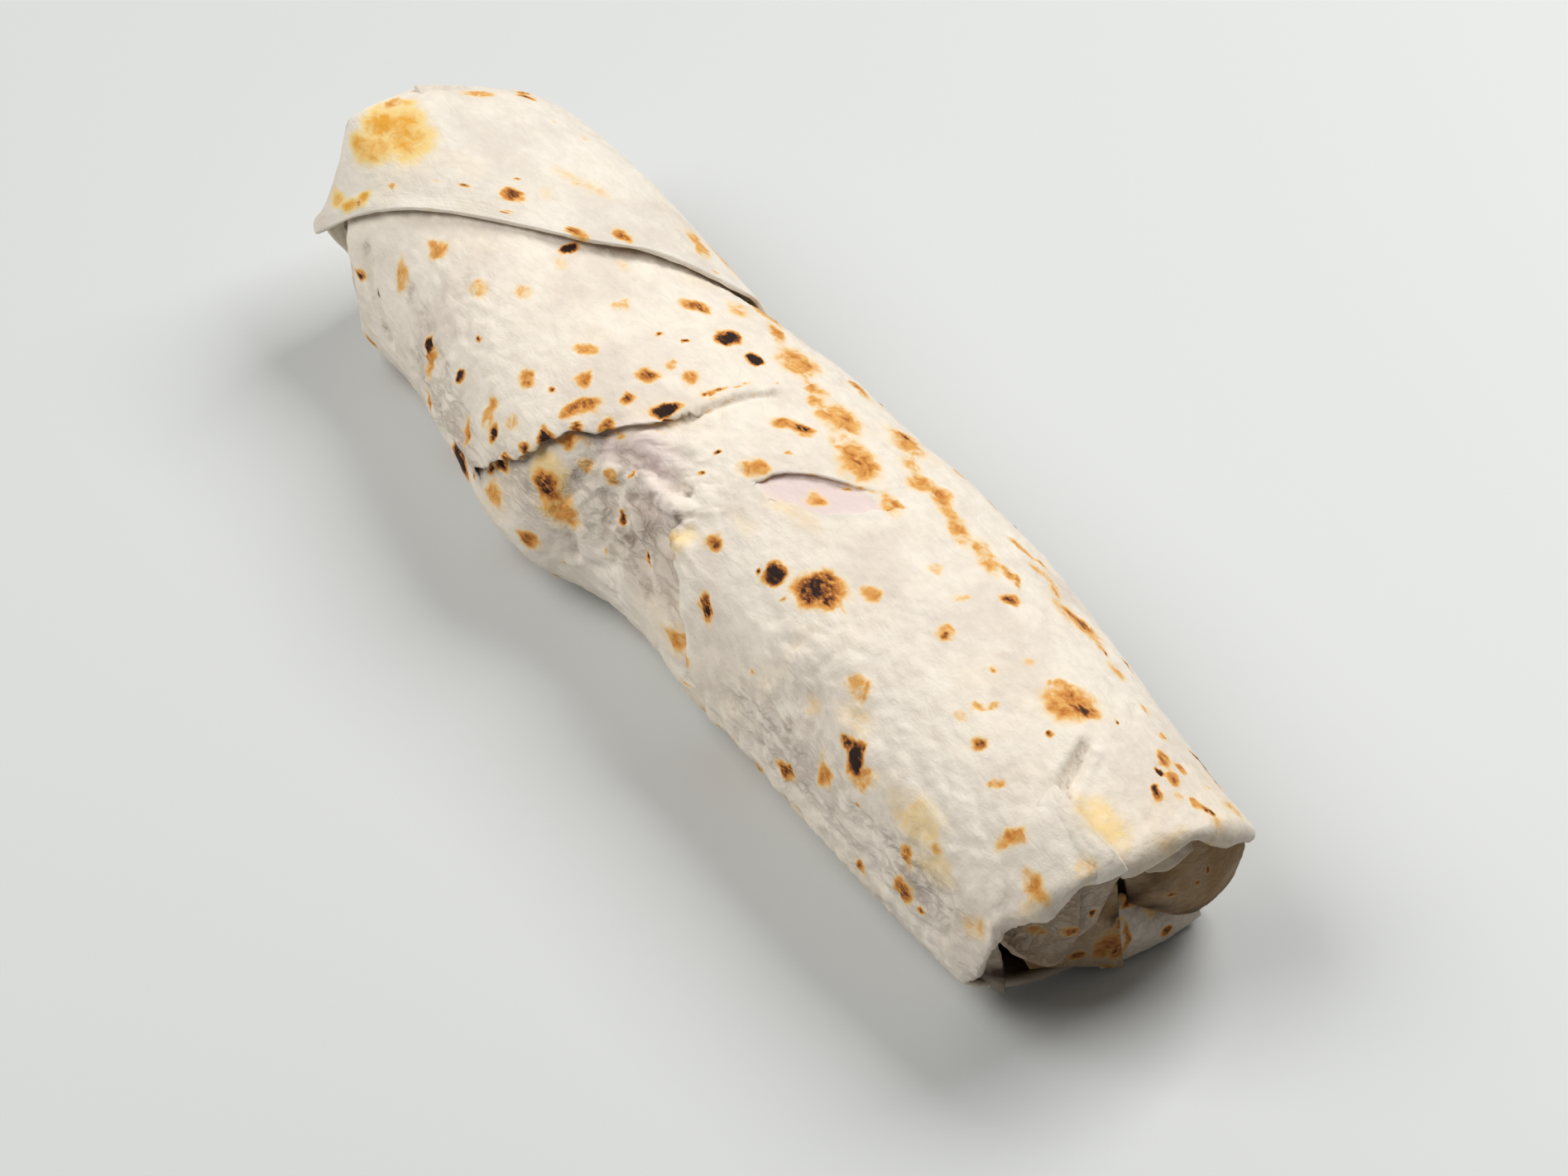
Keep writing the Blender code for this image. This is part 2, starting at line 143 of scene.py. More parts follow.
# %% Swellings, creases and lapped edges
ARC = 0.62             # mm round the roll for each degree
SWELLINGS = (          # distance, angle, half length, half width, turn in degrees, height
    (92, 98, 14, 8, 0, 1.6), (121, 60, 9, 9, 0, -1.4), (112, 40, 8, 4, 50, -1.3),
    (118, 32, 9, 3, 35, 1.2), (140, 54, 5, 5, 0, 1.6), (136, 64, 9, 5.5, 60, -2.2),
    (153, 98, 12, 7, 20, 1.9), (178, 36, 26, 10, 0, 0.8), (192, 56, 9, 6, 15, -0.7),
    (214, 62, 12, 8, 0, 0.9), (236, 72, 10, 5, 30, -0.9), (245, 4, 6, 3.5, 65, -1.5),
    (239, -12, 9, 7, 0, 1.0), (252, 22, 9, 6, 0, 1.3), (254, -16, 9, 8, 0, 0.7),
    (70, 40, 22, 12, 10, 0.8), (36, 76, 12, 7, 20, -1.2), (60, 66, 10, 8, 0, 0.8),
    (150, -60, 26, 12, 0, 0.9), (205, -50, 18, 10, 10, -0.8), (100, -70, 20, 10, 0, -0.8),
)
CREASES = (            # (distance, angle) places, half width, rise
    (((109, 41), (111, 48), (112, 57), (110, 69)), 2.0, -1.9),
    (((115, 40), (121, 38.5), (127, 37), (134, 36)), 1.9, -1.9),
    (((108, 44), (114, 35), (121, 28), (126, 22)), 2.6, 1.2),
    (((114, 48), (120, 46.5), (127, 45), (136, 43)), 2.8, 1.5),
    (((102, 73), (108, 72), (113, 78), (114, 92)), 1.4, -1.4),
    (((117, 60), (124, 66), (131, 70), (139, 82)), 1.6, -1.5),
    (((122, 55), (129, 60), (135, 66), (143, 78)), 1.4, 1.1),
    (((126, 50), (132, 55), (137, 62), (142, 66)), 1.3, -1.1),
    (((119, 52), (125, 54), (131, 50)), 1.3, -0.8),
    (((118, 70), (126, 76), (134, 84)), 1.4, -0.9),
    (((139, 57), (141, 51), (141, 45), (142.5, 42)), 0.7, -0.9),
    (((139, 56), (144, 65), (148, 73), (154, 84), (160, 94)), 3.6, -2.3),
    (((144, 53), (149, 61), (154, 71), (160, 83), (166, 93)), 3.0, 1.5),
    (((240.6, -3.7), (243, 3.0), (245, 8.6), (247.4, 12.7)), 0.9, -1.9),
    (((243, -5.5), (246.5, 2.0), (249, 8), (250.4, 11.2)), 1.3, 1.1),
    (((238, -4), (241, 4), (243, 12)), 1.8, 1.1),
    (((119.2, 16), (120.2, 5), (121.5, -5), (124, -13)), 0.9, -0.8),
    (((117.4, 16), (118.2, 4), (119.4, -6), (122, -14)), 1.5, 0.7),
    (((186, 62), (192, 55), (199, 50)), 2.2, -0.55),
    (((203, 63), (212, 70), (224, 74), (238, 80)), 2.6, -0.7),
    (((196, 88), (210, 86), (226, 90)), 2.0, -0.7),
    (((171, 84), (182, 78), (190, 70)), 1.8, -0.8),
    (((163, 70), (172, 66), (180, 58)), 1.6, -0.6),
    (((36, 60), (52, 64), (70, 70), (84, 76)), 2.8, -0.8),
    (((48, 88), (56, 76), (60, 64)), 1.8, -0.8),
    (((60, 92), (74, 84), (84, 80)), 1.8, 0.7),
    (((22, 62), (27, 76), (36, 92)), 1.2, -1.6),
    (((150, -16), (170, -22), (196, -26)), 2.6, 0.5),
    (((158, 87), (163, 91), (169, 94.5), (178, 97), (188, 98.5), (198, 99)), 1.2, -1.3),
    (((160, 82), (166, 86.5), (172, 89.5), (181, 92), (191, 93.5)), 2.4, 0.9),
)
LAP_LINE = 12.0        # angle where the upper turn laps over at the near end
LAP_RISE = 1.6
LAP_EDGE = 1.5         # degrees over which the lap rises
LAP_FADE = (14, 42)    # degrees past its line between which it sinks away again
LAP_START = (245, 250)
HEM = ((166, 97), (187, 103), (199, 106), (212, 110), (230, 115))
HEM_DEPTH = 1.5
HEM_EDGE = 2.0
HEM_START, HEM_END = (166, 174), (226, 244)
RESTING = (118, 140)   # angles between which the relief fades out towards the underside


def distance_to_path(distance, angle, places):
    """How far points lie from a line of places on the roll, in mm."""
    nearest = np.full(np.shape(distance), 1e3)
    for (s0, a0), (s1, a1) in zip(places[:-1], places[1:]):
        run, side = s1 - s0, (a1 - a0) * ARC
        u, v = distance - s0, (angle - a0) * ARC
        share = np.clip((u * run + v * side) / (run * run + side * side), 0, 1)
        nearest = np.minimum(nearest, np.hypot(u - share * run, v - share * side))
    return nearest


def relief(distance, angle):
    """Height of the swellings, creases and lapped edges over the plain roll."""
    height = np.zeros_like(distance)
    for place, turn, long, wide, slant, rise in SWELLINGS:
        across = (angle - turn) * ARC
        cosine, sine = np.cos(np.radians(slant)), np.sin(np.radians(slant))
        u = ((distance - place) * cosine + across * sine) / long
        v = (across * cosine - (distance - place) * sine) / wide
        height += rise * np.exp(-u * u - v * v)
    for places, width, rise in CREASES:
        height += rise * np.exp(-(distance_to_path(distance, angle, places) / width) ** 2)
    below = ease(angle - blend(distance, HEM), 0.0, HEM_EDGE)
    height -= HEM_DEPTH * below * ease(distance, *HEM_START) * (1 - ease(distance, *HEM_END))
    fading = ease(angle, LAP_LINE + LAP_FADE[0], LAP_LINE + LAP_FADE[1])
    lapped = ease(angle, LAP_LINE, LAP_LINE + LAP_EDGE) * (1 - fading)
    height += LAP_RISE * lapped * ease(distance, *LAP_START)
    return height * (1 - ease(np.abs(angle), *RESTING))


grid_s, grid_a = np.meshgrid(np.linspace(20, 250, 90), np.linspace(-110, 110, 90))
heights = relief(grid_s, grid_a)
print("relief runs from", heights.min().round(1), "to", heights.max().round(1), "mm")

# %% [markdown]
# ## Free edges of the layers
# Where a turn of the bread ends on top of the next one, its edge stands clear and casts a shadow. A
# tube of points can show that without any extra piece: its rows run along the upper layer to the
# edge, round it, back underneath and out again on the layer below. The real edges are torn, so
# their lines wander by a millimetre or so.

# %% The lines of the torn edges
TORN_EDGE = ((-180, 110), (-90, 118), (-40, 121), (-12, 123), (0, 119.5), (15, 119), (30, 114),
             (45, 104), (60, 99), (77, 90), (86, 86), (110, 92), (140, 104), (180, 110))
TORN_SPAN = ((8, 88, 4),)
SPLIT_LEFT = ((-180, 140), (-60, 152), (-16, 160.5), (-11, 158), (-2.5, 150), (3, 145.6), (10, 144),
              (16, 143), (40, 131), (90, 126), (180, 140))
SPLIT_SPAN = ((-11, 13.5, 1.0),)
OVERLAP_EDGE = ((-180, 170), (-60, 164), (-16, 167), (-11, 165), (-4.5, 163), (5, 158), (13, 150),
                (18, 148.5), (50, 138), (57, 143), (65, 149), (77, 154), (89, 160), (97, 166),
                (104, 172), (130, 176), (180, 170))
OVERLAP_SPAN = ((-11, 13.5, 1.0), (47, 102, 4))
OVERLAP_DEPTH = ((30, -0.6), (45, -2.6), (60, -2.2), (76, -0.5), (90, 0.2), (104, 0.2))
OVERLAP_RISE = ((30, 0.0), (48, 0.8), (72, 1.2), (90, 1.7), (104, 1.7))
LAYER_STEP = ((-14, 0.4), (0, 0.8), (14, 1.2), (24, 1.8), (50, 2.9), (75, 2.6), (88, 1.8))
SPLIT_DEPTH = 1.0
EDGE_RADIUS = 0.36
UNDERCUT = ((-14, 0.2), (14, 0.4), (26, 2.2), (40, 4.2), (88, 4.5))
ONSET = 4              # degrees on either side of a span's start over which its edge lifts
WAVES, NICKS = 0.16, 0.45      # how fast the broad waves and the small nicks of a torn edge follow on
NICK_SHARE = 0.35


def standing(angle, spans):
    """1 where a layer's edge stands up, 0 where it has grown into the layer below."""
    amount = np.zeros_like(angle)
    for low, high, soft in spans:
        rise, fall = ease(angle, low - ONSET, low + ONSET), ease(angle, high - soft, high + soft)
        amount = np.maximum(amount, rise * (1 - fall))
    return amount


def wander(angle, size, seed):
    """A ragged offset along an edge, in mm: broad waves with small nicks in them."""
    steps = [noise.fractal(Vector((a * WAVES, seed, 0.0)), 0.7, 2.1, 4)
             + NICK_SHARE * noise.noise(Vector((a * NICKS, seed, 3.0))) for a in angle]
    return size * np.array(steps)


def fold(edge, upper, lower, amount, facing, undercut):
    """Tracks (distance, lift) that run over a free edge, back below it and out on the next layer."""
    turns = np.radians((90, 60, 30, 0, -30, -60, -90))
    offsets = [EDGE_RADIUS * (np.cos(turn) - 1) for turn in turns]
    heights = [upper - EDGE_RADIUS * (1 - np.sin(turn)) for turn in turns]
    gap = upper - 2 * EDGE_RADIUS - lower
    offsets += [-0.5 * undercut, -undercut, -undercut - 0.3, -0.6 * undercut, 0.4]
    heights += [upper - 2 * EDGE_RADIUS - 0.1 * gap, lower + 0.55 * gap, lower + 0.1 * gap]
    heights += [lower, lower]
    offsets[0] -= 0.7
    level = np.linspace(-1.5, 1.5, len(offsets))
    plain = np.linspace(1.0, 0.0, len(offsets))
    tracks = []
    for offset, height, flat, share in zip(offsets, heights, level, plain):
        place = edge + facing * (amount * offset + (1 - amount) * flat)
        tracks.append((place, amount * height + (1 - amount) * (share * upper + (1 - share) * lower)))
    return tracks if facing > 0 else tracks[::-1]


TORN_WANDER, SPLIT_WANDER, OVERLAP_WANDER = (1.5, 2.0), (0.6, 5.0), (0.5, 8.0)     # size in mm, seed
print("the torn edge wanders by", wander(np.arange(0.0, 40.0, 10.0), *TORN_WANDER).round(2), "mm")

# %% [markdown]
# ## The two mouths
# At each end the bread turns in over a lip: thick and rounded in the lobes, thin at the creases
# between them. Behind the lip the tube closes with a hollow floor, which the folded leaves cover.

# %% The mouths
FAR_MOUTH = ((-180, 6), (-120, 4), (-60, 2), (0, 3), (40, 7), (62, 12), (78, 19), (92, 22),
             (125, 18), (150, 9), (180, 6))
NEAR_MOUTH = ((-180, 252), (-150, 253), (-120, 254), (-90, 259), (-72, 264.5), (-55, 267), (0, 267.5),
              (30, 265), (52, 262), (62, 258), (75, 257.5), (90, 256), (105, 251), (135, 248),
              (160, 250), (180, 252))
FAR_LIP = ((-180, 1.0), (-60, 1.2), (-42, 2.4), (-28, 2.0), (-19, 1.0), (-8, 1.9), (6, 2.5),
              (18, 1.8), (27, 0.9), (36, 1.8), (50, 2.5), (64, 2.2), (80, 0.8), (180, 1.0))
NEAR_LIP = ((-180, 1.2), (-66, 1.8), (-44, 3.4), (-28, 2.6), (-19, 1.5), (-8, 3.0), (6, 3.8),
            (18, 2.8), (27, 1.6), (36, 2.8), (50, 3.8), (64, 3.0), (80, 1.0), (180, 1.2))
LIP_START = 3.0
MOUTH_DEPTH = 11.0
ROUND_SAMPLES = 256
LIP_TURNS = (72, 56, 40, 24, 8, -8, -24, -40, -60, -85)       # degrees, from the outside to the inside
WALL_ROWS = 7
WALL_GAP = 0.4
FLOOR_SHARES = (0.85, 0.65, 0.45, 0.25, 0.0)
INSIDE_ROWS = WALL_ROWS + len(FLOOR_SHARES)


def spread(start, end, count):
    """Tracks evenly spaced between two tracks."""
    shares = np.linspace(0, 1, count + 2)[1:-1]
    return [tuple(a + (b - a) * share for a, b in zip(start, end)) for share in shares]


def mouth(rim, angle, inward, lip_radius):
    """Rows of points that turn in over a mouth's lip and close its floor."""
    rows = []
    radius = blend(angle, lip_radius)
    for turn in np.radians(LIP_TURNS):
        place = rim + inward * radius * (1 - np.cos(turn))
        rows.append(skin(place, angle, -radius * (1 - np.sin(turn)) + relief(place, angle)))
    lip = rows[-1]
    wall = skin(rim + inward * MOUTH_DEPTH, angle, -2 * radius - WALL_GAP)
    centre = wall.mean(axis=0)
    rows += [lip + (wall - lip) * share for share in np.linspace(0.15, 1, WALL_ROWS)]
    rows += [centre + (wall - centre) * share for share in FLOOR_SHARES]
    return rows


def equal_angles(count):
    """Angles that divide the middle section of the roll into equal lengths."""
    fine = np.linspace(-180, 180, 1441)
    points = section(np.full_like(fine, 150.0), fine)
    length = np.concatenate(([0], np.cumsum(np.linalg.norm(np.diff(points, axis=0), axis=1))))
    return np.interp(np.linspace(0, length[-1], count + 1), length, fine)


print("a mouth has", len(LIP_TURNS), "rows over its lip and", INSIDE_ROWS, "inside")

# %% [markdown]
# ## The rows of the roll
# The whole roll is one tube. Its rows follow each other from the floor of the far mouth over its lip,
# along the outside across the torn edge, the split and the overlap, and in over the near lip. Each
# row notes which layer it belongs to and how dark it is there, because the finish needs both.

# %% From one mouth to the other
ROW_SPACING = 0.87
BEFORE_EDGES = (100, 36, 9)            # mm of plain bread before the torn edge, the split and the overlap
AFTER_EDGES = 104
VALLEY = 30                            # angle past which the overlap has a deep valley beside it
OVERLAP_UNDERCUT, VALLEY_UNDERCUT = 1.2, 1.8
SPLIT_UNDERCUT, SPLIT_RISE = 1.6, 0.4
TORN_SHADOW, TORN_SHADOW_START = 0.8, (16, 44)
UNDER_SHADOW = (0, 0, 0, 0, 0.1, 0.3, 0.6, 0.9, 1, 1, 1, 0.7)     # on the 12 tracks of one free edge
FACING = (1, 1, -1)                    # the way each edge points along the roll
OVERLAP_LEAD = 8                       # rows before its end at which the overlap's own turn begins
# What a point belongs to: the turn above the torn edge, the one below it, the inside of a mouth, the
# end flap, the bread seen through the split, or a lip, which counts up from LIP on its way in.
UPPER, LOWER, INSIDE, FLAP, OPENING, LIP = 0.0, 1.0, 2.0, 3.0, 4.0, 5.0


def free_edges(angle):
    """The tracks over the torn edge, the split and the overlap, and how dark it is under each."""
    level = np.zeros_like(angle)
    torn_up, split_up = standing(angle, TORN_SPAN), standing(angle, SPLIT_SPAN)
    overlap_up = standing(angle, OVERLAP_SPAN)
    torn = blend(angle, TORN_EDGE) + wander(angle, *TORN_WANDER) * torn_up
    split = blend(angle, SPLIT_LEFT) + wander(angle, *SPLIT_WANDER) * split_up
    overlap = blend(angle, OVERLAP_EDGE) + wander(angle, *OVERLAP_WANDER) * overlap_up
    step = blend(angle, LAYER_STEP) * torn_up
    depth = blend(angle, OVERLAP_DEPTH) * overlap_up
    rise = blend(angle, OVERLAP_RISE) * overlap_up
    opening = (level + SPLIT_RISE * split_up, level - SPLIT_DEPTH * split_up)
    valley = OVERLAP_UNDERCUT + VALLEY_UNDERCUT * (angle > VALLEY)
    edges = (fold(torn, step, level, torn_up, FACING[0], blend(angle, UNDERCUT)),
             fold(split, *opening, split_up, FACING[1], SPLIT_UNDERCUT),
             fold(overlap, rise, depth, overlap_up, FACING[2], valley))
    darkness = (TORN_SHADOW * torn_up * ease(angle, *TORN_SHADOW_START), level,
                overlap_up * (angle > VALLEY))
    return edges, darkness


def outer_tracks(angle, far, near):
    """Tracks from one mouth to the other, their shadow, and where each free edge ends."""
    level = np.zeros_like(angle)
    tracks, shadow, ends = [(far + LIP_START, level)], [level], []
    for edge, dark, share, facing in zip(*free_edges(angle), BEFORE_EDGES, FACING):
        between = spread(tracks[-1], edge[0], round(share / ROW_SPACING))
        tracks += between + edge
        under = [dark * part for part in UNDER_SHADOW]
        shadow += [level] * len(between) + under[::facing]
        ends.append(len(tracks) - 2)
    finish = (near - LIP_START, level)
    tracks += spread(tracks[-1], finish, round(AFTER_EDGES / ROW_SPACING)) + [finish]
    shadow += [level] * (len(tracks) - len(shadow))
    return tracks, shadow, ends


def roll_rows():
    """All rows of points of the roll, from the floor of the far mouth to that of the near one."""
    angle = equal_angles(ROUND_SAMPLES)
    level = np.zeros_like(angle)
    far, near = blend(angle, FAR_MOUTH), blend(angle, NEAR_MOUTH)
    tracks, shadow, (torn_end, split_end, overlap_end) = outer_tracks(angle, far, near)
    outside = [skin(place, angle, lift + relief(place, angle)) for place, lift in tracks]
    far_rows, near_rows = mouth(far, angle, 1, FAR_LIP)[::-1], mouth(near, angle, -1, NEAR_LIP)
    turns = [UPPER] * torn_end + [LOWER] * (split_end - torn_end)
    turns += [OPENING] * (overlap_end - split_end - OVERLAP_LEAD)
    turns += [LOWER] * (len(tracks) - len(turns))
    lip = [LIP + share for share in np.linspace(0.0, 0.9, len(near_rows) - INSIDE_ROWS)]
    layers = [INSIDE] * INSIDE_ROWS + lip[::-1] + turns + lip + [INSIDE] * INSIDE_ROWS
    shadow = [level] * len(far_rows) + shadow + [level] * len(near_rows)
    return far_rows + outside + near_rows, layers, shadow


rows, layers, shadow = roll_rows()
print("the roll has", len(rows), "rows of", ROUND_SAMPLES, "points")

# %% [markdown]
# ## Making meshes from rows
# A grid from bmesh has its points in rows already, so moving each one to its place gives any
# surface of one sheet. Welding the grid's two long sides closes it into a tube, and welding each
# end row to one point closes the ends.

# %% From rows of points to a closed mesh
def grid_points(mesh, rows, columns):
    """A flat grid's vertices in reading order: row after row."""
    grid = bmesh.ops.create_grid(mesh, x_segments=columns - 1, y_segments=rows - 1, size=1.0)
    return sorted(grid["verts"], key=lambda vert: (round(vert.co.y, 5), round(vert.co.x, 5)))


def finish_mesh(name, mesh):
    """Turn a bmesh into an object that lies at the origin."""
    data = bpy.data.meshes.new(name)
    mesh.to_mesh(data)
    mesh.free()
    data.shade_smooth()
    thing = bpy.data.objects.new(name, data)
    bpy.context.scene.collection.objects.link(thing)
    return thing


def tube_from_rows(name, rows, layers, shadow):
    """A closed tube through rows of points, with a layer and a shadow kept for each point."""
    mesh = bmesh.new()
    columns = len(rows[0])
    which, tucked = [mesh.verts.layers.float.new(label) for label in ("layer", "tucked")]
    verts = grid_points(mesh, len(rows), columns)
    for index, vert in enumerate(verts):
        vert.co = rows[index // columns][index % columns] * MM
        vert[which], vert[tucked] = layers[index // columns], shadow[index // columns][index % columns]
    merges = {verts[row * columns + columns - 1]: verts[row * columns] for row in range(len(rows))}
    merges |= {vert: verts[0] for vert in verts[1:columns]}
    merges |= {vert: verts[-columns] for vert in verts[-columns + 1:]}
    bmesh.ops.weld_verts(mesh, targetmap=merges)
    bmesh.ops.recalc_face_normals(mesh, faces=mesh.faces)
    return finish_mesh(name, mesh)


roll = tube_from_rows("bread_roll", rows, layers, shadow)
print("bread_roll:", len(roll.data.polygons), "faces")

# %% [markdown]
# ## Leaves of bread
# The end flap and the folded ends are separate leaves. Each is drawn as a small net of places that
# its outer face passes through; the curve through them fills in the rest. The leaf gets its
# thickness from solidify, and one level of subdivision rounds its rim.

# %% A leaf from a net of places
def curve(points, count):
    """Points evenly spaced along a smooth curve through the given ones."""
    points = np.asarray(points, float)
    places = np.linspace(0, len(points) - 1, count)
    knots = np.arange(len(points))
    flat = points.reshape(len(points), -1)
    columns = [blend(places, np.stack([knots, column], -1)) for column in flat.T]
    return np.stack(columns, -1).reshape((count,) + points.shape[1:])


def on_skin(*places):
    """A row of a net, given as distance, angle and lift."""
    return [skin(distance, angle, float(lift)) for distance, angle, lift in places]


def in_space(*places):
    """A row of a net, given as distance, y and z."""
    return [np.array([distance - MIDDLE, y, z], float) + FRAME_SHIFT for distance, y, z in places]


def face_from_net(net, size):
    """Points of a curved face, row after row, through a net of places."""
    rows, columns = size
    return np.swapaxes(curve(np.swapaxes(curve(net, rows), 0, 1), columns), 0, 1)


def hemmed(face, radius, under):
    """The same face with its last row turned under into a round fold."""
    along = face[-1] - face[-4]
    along /= np.linalg.norm(along, axis=1, keepdims=True)
    across = np.gradient(face[-1], axis=0)
    normal = np.cross(along, across)
    normal /= np.linalg.norm(normal, axis=1, keepdims=True)
    normal *= np.sign(np.sum(normal * (face[-1] - np.array([0, 0, 20])), axis=1))[:, None]
    rows = [face[-1] + radius * (along * math.sin(turn) - normal * (1 - math.cos(turn)))
            for turn in np.radians(np.arange(20, 181, 20))]
    rows += [rows[-1] - along * back for back in np.linspace(under / 4, under, 4)]
    return np.concatenate([face, np.array(rows)])


def leaf_from_face(name, face, thickness, floor=0.3):
    """A thin leaf of bread with the given outer face."""
    rows, columns = face.shape[:2]
    mesh = bmesh.new()
    verts = grid_points(mesh, rows, columns)
    for index, vert in enumerate(verts):
        vert.co = face[index // columns, index % columns] * MM
    bmesh.ops.recalc_face_normals(mesh, faces=mesh.faces)
    top = max(mesh.faces, key=lambda one: one.calc_center_median().z)
    out = top.calc_center_median() - Vector((top.calc_center_median().x * 0.6, 0, 0.02))
    if top.normal.dot(out) < 0:
        bmesh.ops.reverse_faces(mesh, faces=mesh.faces)
    everything = mesh.faces[:] + mesh.edges[:] + mesh.verts[:]
    bmesh.ops.solidify(mesh, geom=everything, thickness=thickness * MM)
    for vert in mesh.verts:
        vert.co.z = max(vert.co.z, floor * MM)
    bmesh.ops.recalc_face_normals(mesh, faces=mesh.faces)
    return finish_mesh(name, mesh)


# %% [markdown]
# ## The end flap
# The last of the bread comes up the far end, turns over its ridge and lies back along the top. Its
# free edge is turned under into a soft hem: half a turn of small radius, then a strip below.

# %% The end flap
FLAP_NET = [
    in_space((6, -22, 12), (3.5, -18, 10), (2, -12, 8.5), (1.5, -4, 7.5), (1.8, 6, 8), (2.2, 16, 9),
             (3.5, 22, 10), (5.5, 25, 10)),
    in_space((1, -27.5, 23), (0, -22.5, 37), (-1.5, -17.5, 50), (-2, -5, 48.7), (-1, 7, 44.3),
             (0, 21, 38.3), (1, 29, 31), (3, 33, 18)),
    on_skin((3, 66, 0.5), (8, 50, 2.5), (14, 30, 5), (24, 5, 3.6), (30, -16, 3.2), (34, -38, 3),
            (34, -62, 2.8), (14, -94, 2.0)),
    on_skin((4, 69, 1.6), (14, 48, 3.2), (24, 30, 3.2), (43, 4, 3), (52, -18, 3), (59, -42, 2.8),
            (60, -66, 2.4), (22, -100, 1.6)),
    on_skin((6, 71, 2.4), (20, 45, 3.2), (34, 26, 3.0), (61, -1, 2.7), (73, -21, 2.9), (84, -45, 1.9),
            (87, -68, 1.3), (30, -108, 1.0)),
]
FLAP_POINTS = (96, 100)
FLAP_THICKNESS = 0.8
HEM_RADIUS, HEM_STRIP = 0.6, 4.0
flap_face = hemmed(face_from_net(FLAP_NET, FLAP_POINTS), HEM_RADIUS, HEM_STRIP)
flap = leaf_from_face("end_flap", flap_face, FLAP_THICKNESS)
print("end_flap:", len(flap.data.polygons), "faces")

# %% [markdown]
# ## The folded ends
# At the near end the sides of the bread are pushed in and the upper turn laps over them, which
# leaves a pouch, a panel on each side and dark gaps between. The far end is closed in the same way
# behind the flap.

# %% The leaves of both ends
END_LEAVES = {
    "near_right_panel": (
        in_space((260, -3, 38), (263, 8, 42), (264, 17.5, 40), (263.5, 24.5, 33)),
        in_space((259.5, -1, 29), (264, 8, 27), (265, 17, 26), (263, 26.5, 25)),
        in_space((257, 2, 20), (261, 9, 16), (262, 17, 12.5), (260, 26, 13)),
        in_space((251, 6, 14), (253, 11, 8), (254.5, 16, 5), (256, 21.5, 3.2))),
    "near_base_panel": (
        in_space((253, -1, 20), (252.5, 9, 15), (252, 20, 10)),
        in_space((256, -2.5, 10), (257, 10, 8), (256.5, 21.5, 5)),
        in_space((256.3, -3, 1.5), (257.5, 11, 1.5), (256.5, 22.3, 2))),
    "near_lower_layer": (
        in_space((250, -22, 24), (256, -12, 30), (261, -4, 33)),
        in_space((250.5, -20, 14), (256, -9, 16), (260, -1.6, 16)),
        in_space((251, -17, 6), (255, -7.5, 4), (259, 1.3, 1.5))),
    "near_pouch": (
        in_space((254, -30, 34), (257, -25, 39), (260, -18, 42), (262, -14, 43)),
        in_space((252, -29, 30), (253.5, -23.5, 28), (257, -18, 31), (261.5, -13.5, 36)),
        in_space((256, -28, 28), (257.5, -23, 19.5), (259, -17, 14.8), (260.5, -12.5, 22))),
    "near_pouch_fold": (
        in_space((256, -16, 41), (260, -10, 41.5), (262, -4, 37)),
        in_space((255, -15, 33), (259, -11, 31), (261.5, -6.5, 31)),
        in_space((256, -15, 22), (259, -12, 20.5), (261, -9, 24.5))),
    "near_tongue": (
        in_space((262, -2, 43), (263, 5, 44.5), (263, 11, 44)),
        in_space((265.5, -0.5, 38.5), (267, 4, 37.8), (267, 9.5, 40))),
    "near_left_panel": (
        in_space((252, -30, 27), (254, -28.5, 25)),
        in_space((247, -30.5, 14), (253, -25.2, 13)),
        in_space((242, -27, 2.5), (250.5, -22.7, 1.5))),
    "far_front_tuck": (
        on_skin((18, 60, -2.6)) + in_space((9, -27.5, 30), (4, -16, 34), (5, 3, 34)),
        on_skin((28, 86, -2.6)) + in_space((13, -28.5, 19), (6, -16, 20), (6, 5, 20)),
        on_skin((25, 116, -2.6)) + in_space((12, -25, 3), (6.5, -12, 2), (6.5, 4, 2))),
    "far_back_tuck": (
        in_space((9, -4, 30), (6, 8, 31), (4, 18, 30)) + on_skin((9, -62, -2.4)),
        in_space((10, -3, 18), (6.5, 7, 18), (4.5, 18, 18)) + on_skin((9, -88, -2.4)),
        in_space((10, -2, 2), (7, 7, 2), (5.5, 18, 2)) + on_skin((8, -120, -2.4))),
    "far_tab": (
        in_space((5, -2.4, 51.2), (5, 9, 45.2), (5, 20.5, 39.0)),
        in_space((1.0, -2.4, 53.5), (0.6, 9, 47.4), (1.0, 20.5, 41.0))),
    "near_lap": (
        on_skin((243, 11, -1.0), (247, 12.3, 2.2), (252, 13, 3.0), (258, 13.2, 3.2), (263.5, 13.0, 3.0),
                (266.8, 12.6, 1.7), (268.2, 12, -0.6)),
        on_skin((244, 20, -1.0), (247, 20, 1.8), (252, 20, 2.6), (258, 20, 2.7), (262.6, 20, 2.4),
                (265.6, 20.4, 1.1), (267.0, 20.6, -1.4)),
        on_skin((246, 33, -1.2), (249, 33, 0.1), (253, 33, 0.3), (258, 33, 0.2), (261, 33, 0.0),
                (263.0, 32, -0.8), (263.6, 31, -1.6))),
}
LEAF_POINTS = (42, 42)
LEAF_THICKNESS = 1.2
leaves = {name: leaf_from_face(name, face_from_net(net, LEAF_POINTS), LEAF_THICKNESS)
          for name, net in END_LEAVES.items()}
bread = [roll, flap, *leaves.values()]
print(len(leaves), "leaves at the ends,", len(bread), "pieces of bread in all")

# %% [markdown]
# ## Small wrinkles
# Bread that has been rolled warm is never smooth. Broad soft swells, crumpled folds a few
# millimetres apart and a fine grain each come from a noise of their own size, and every point moves
# along its normal by their sum. The crumpling is strongest where the bread was pulled round.

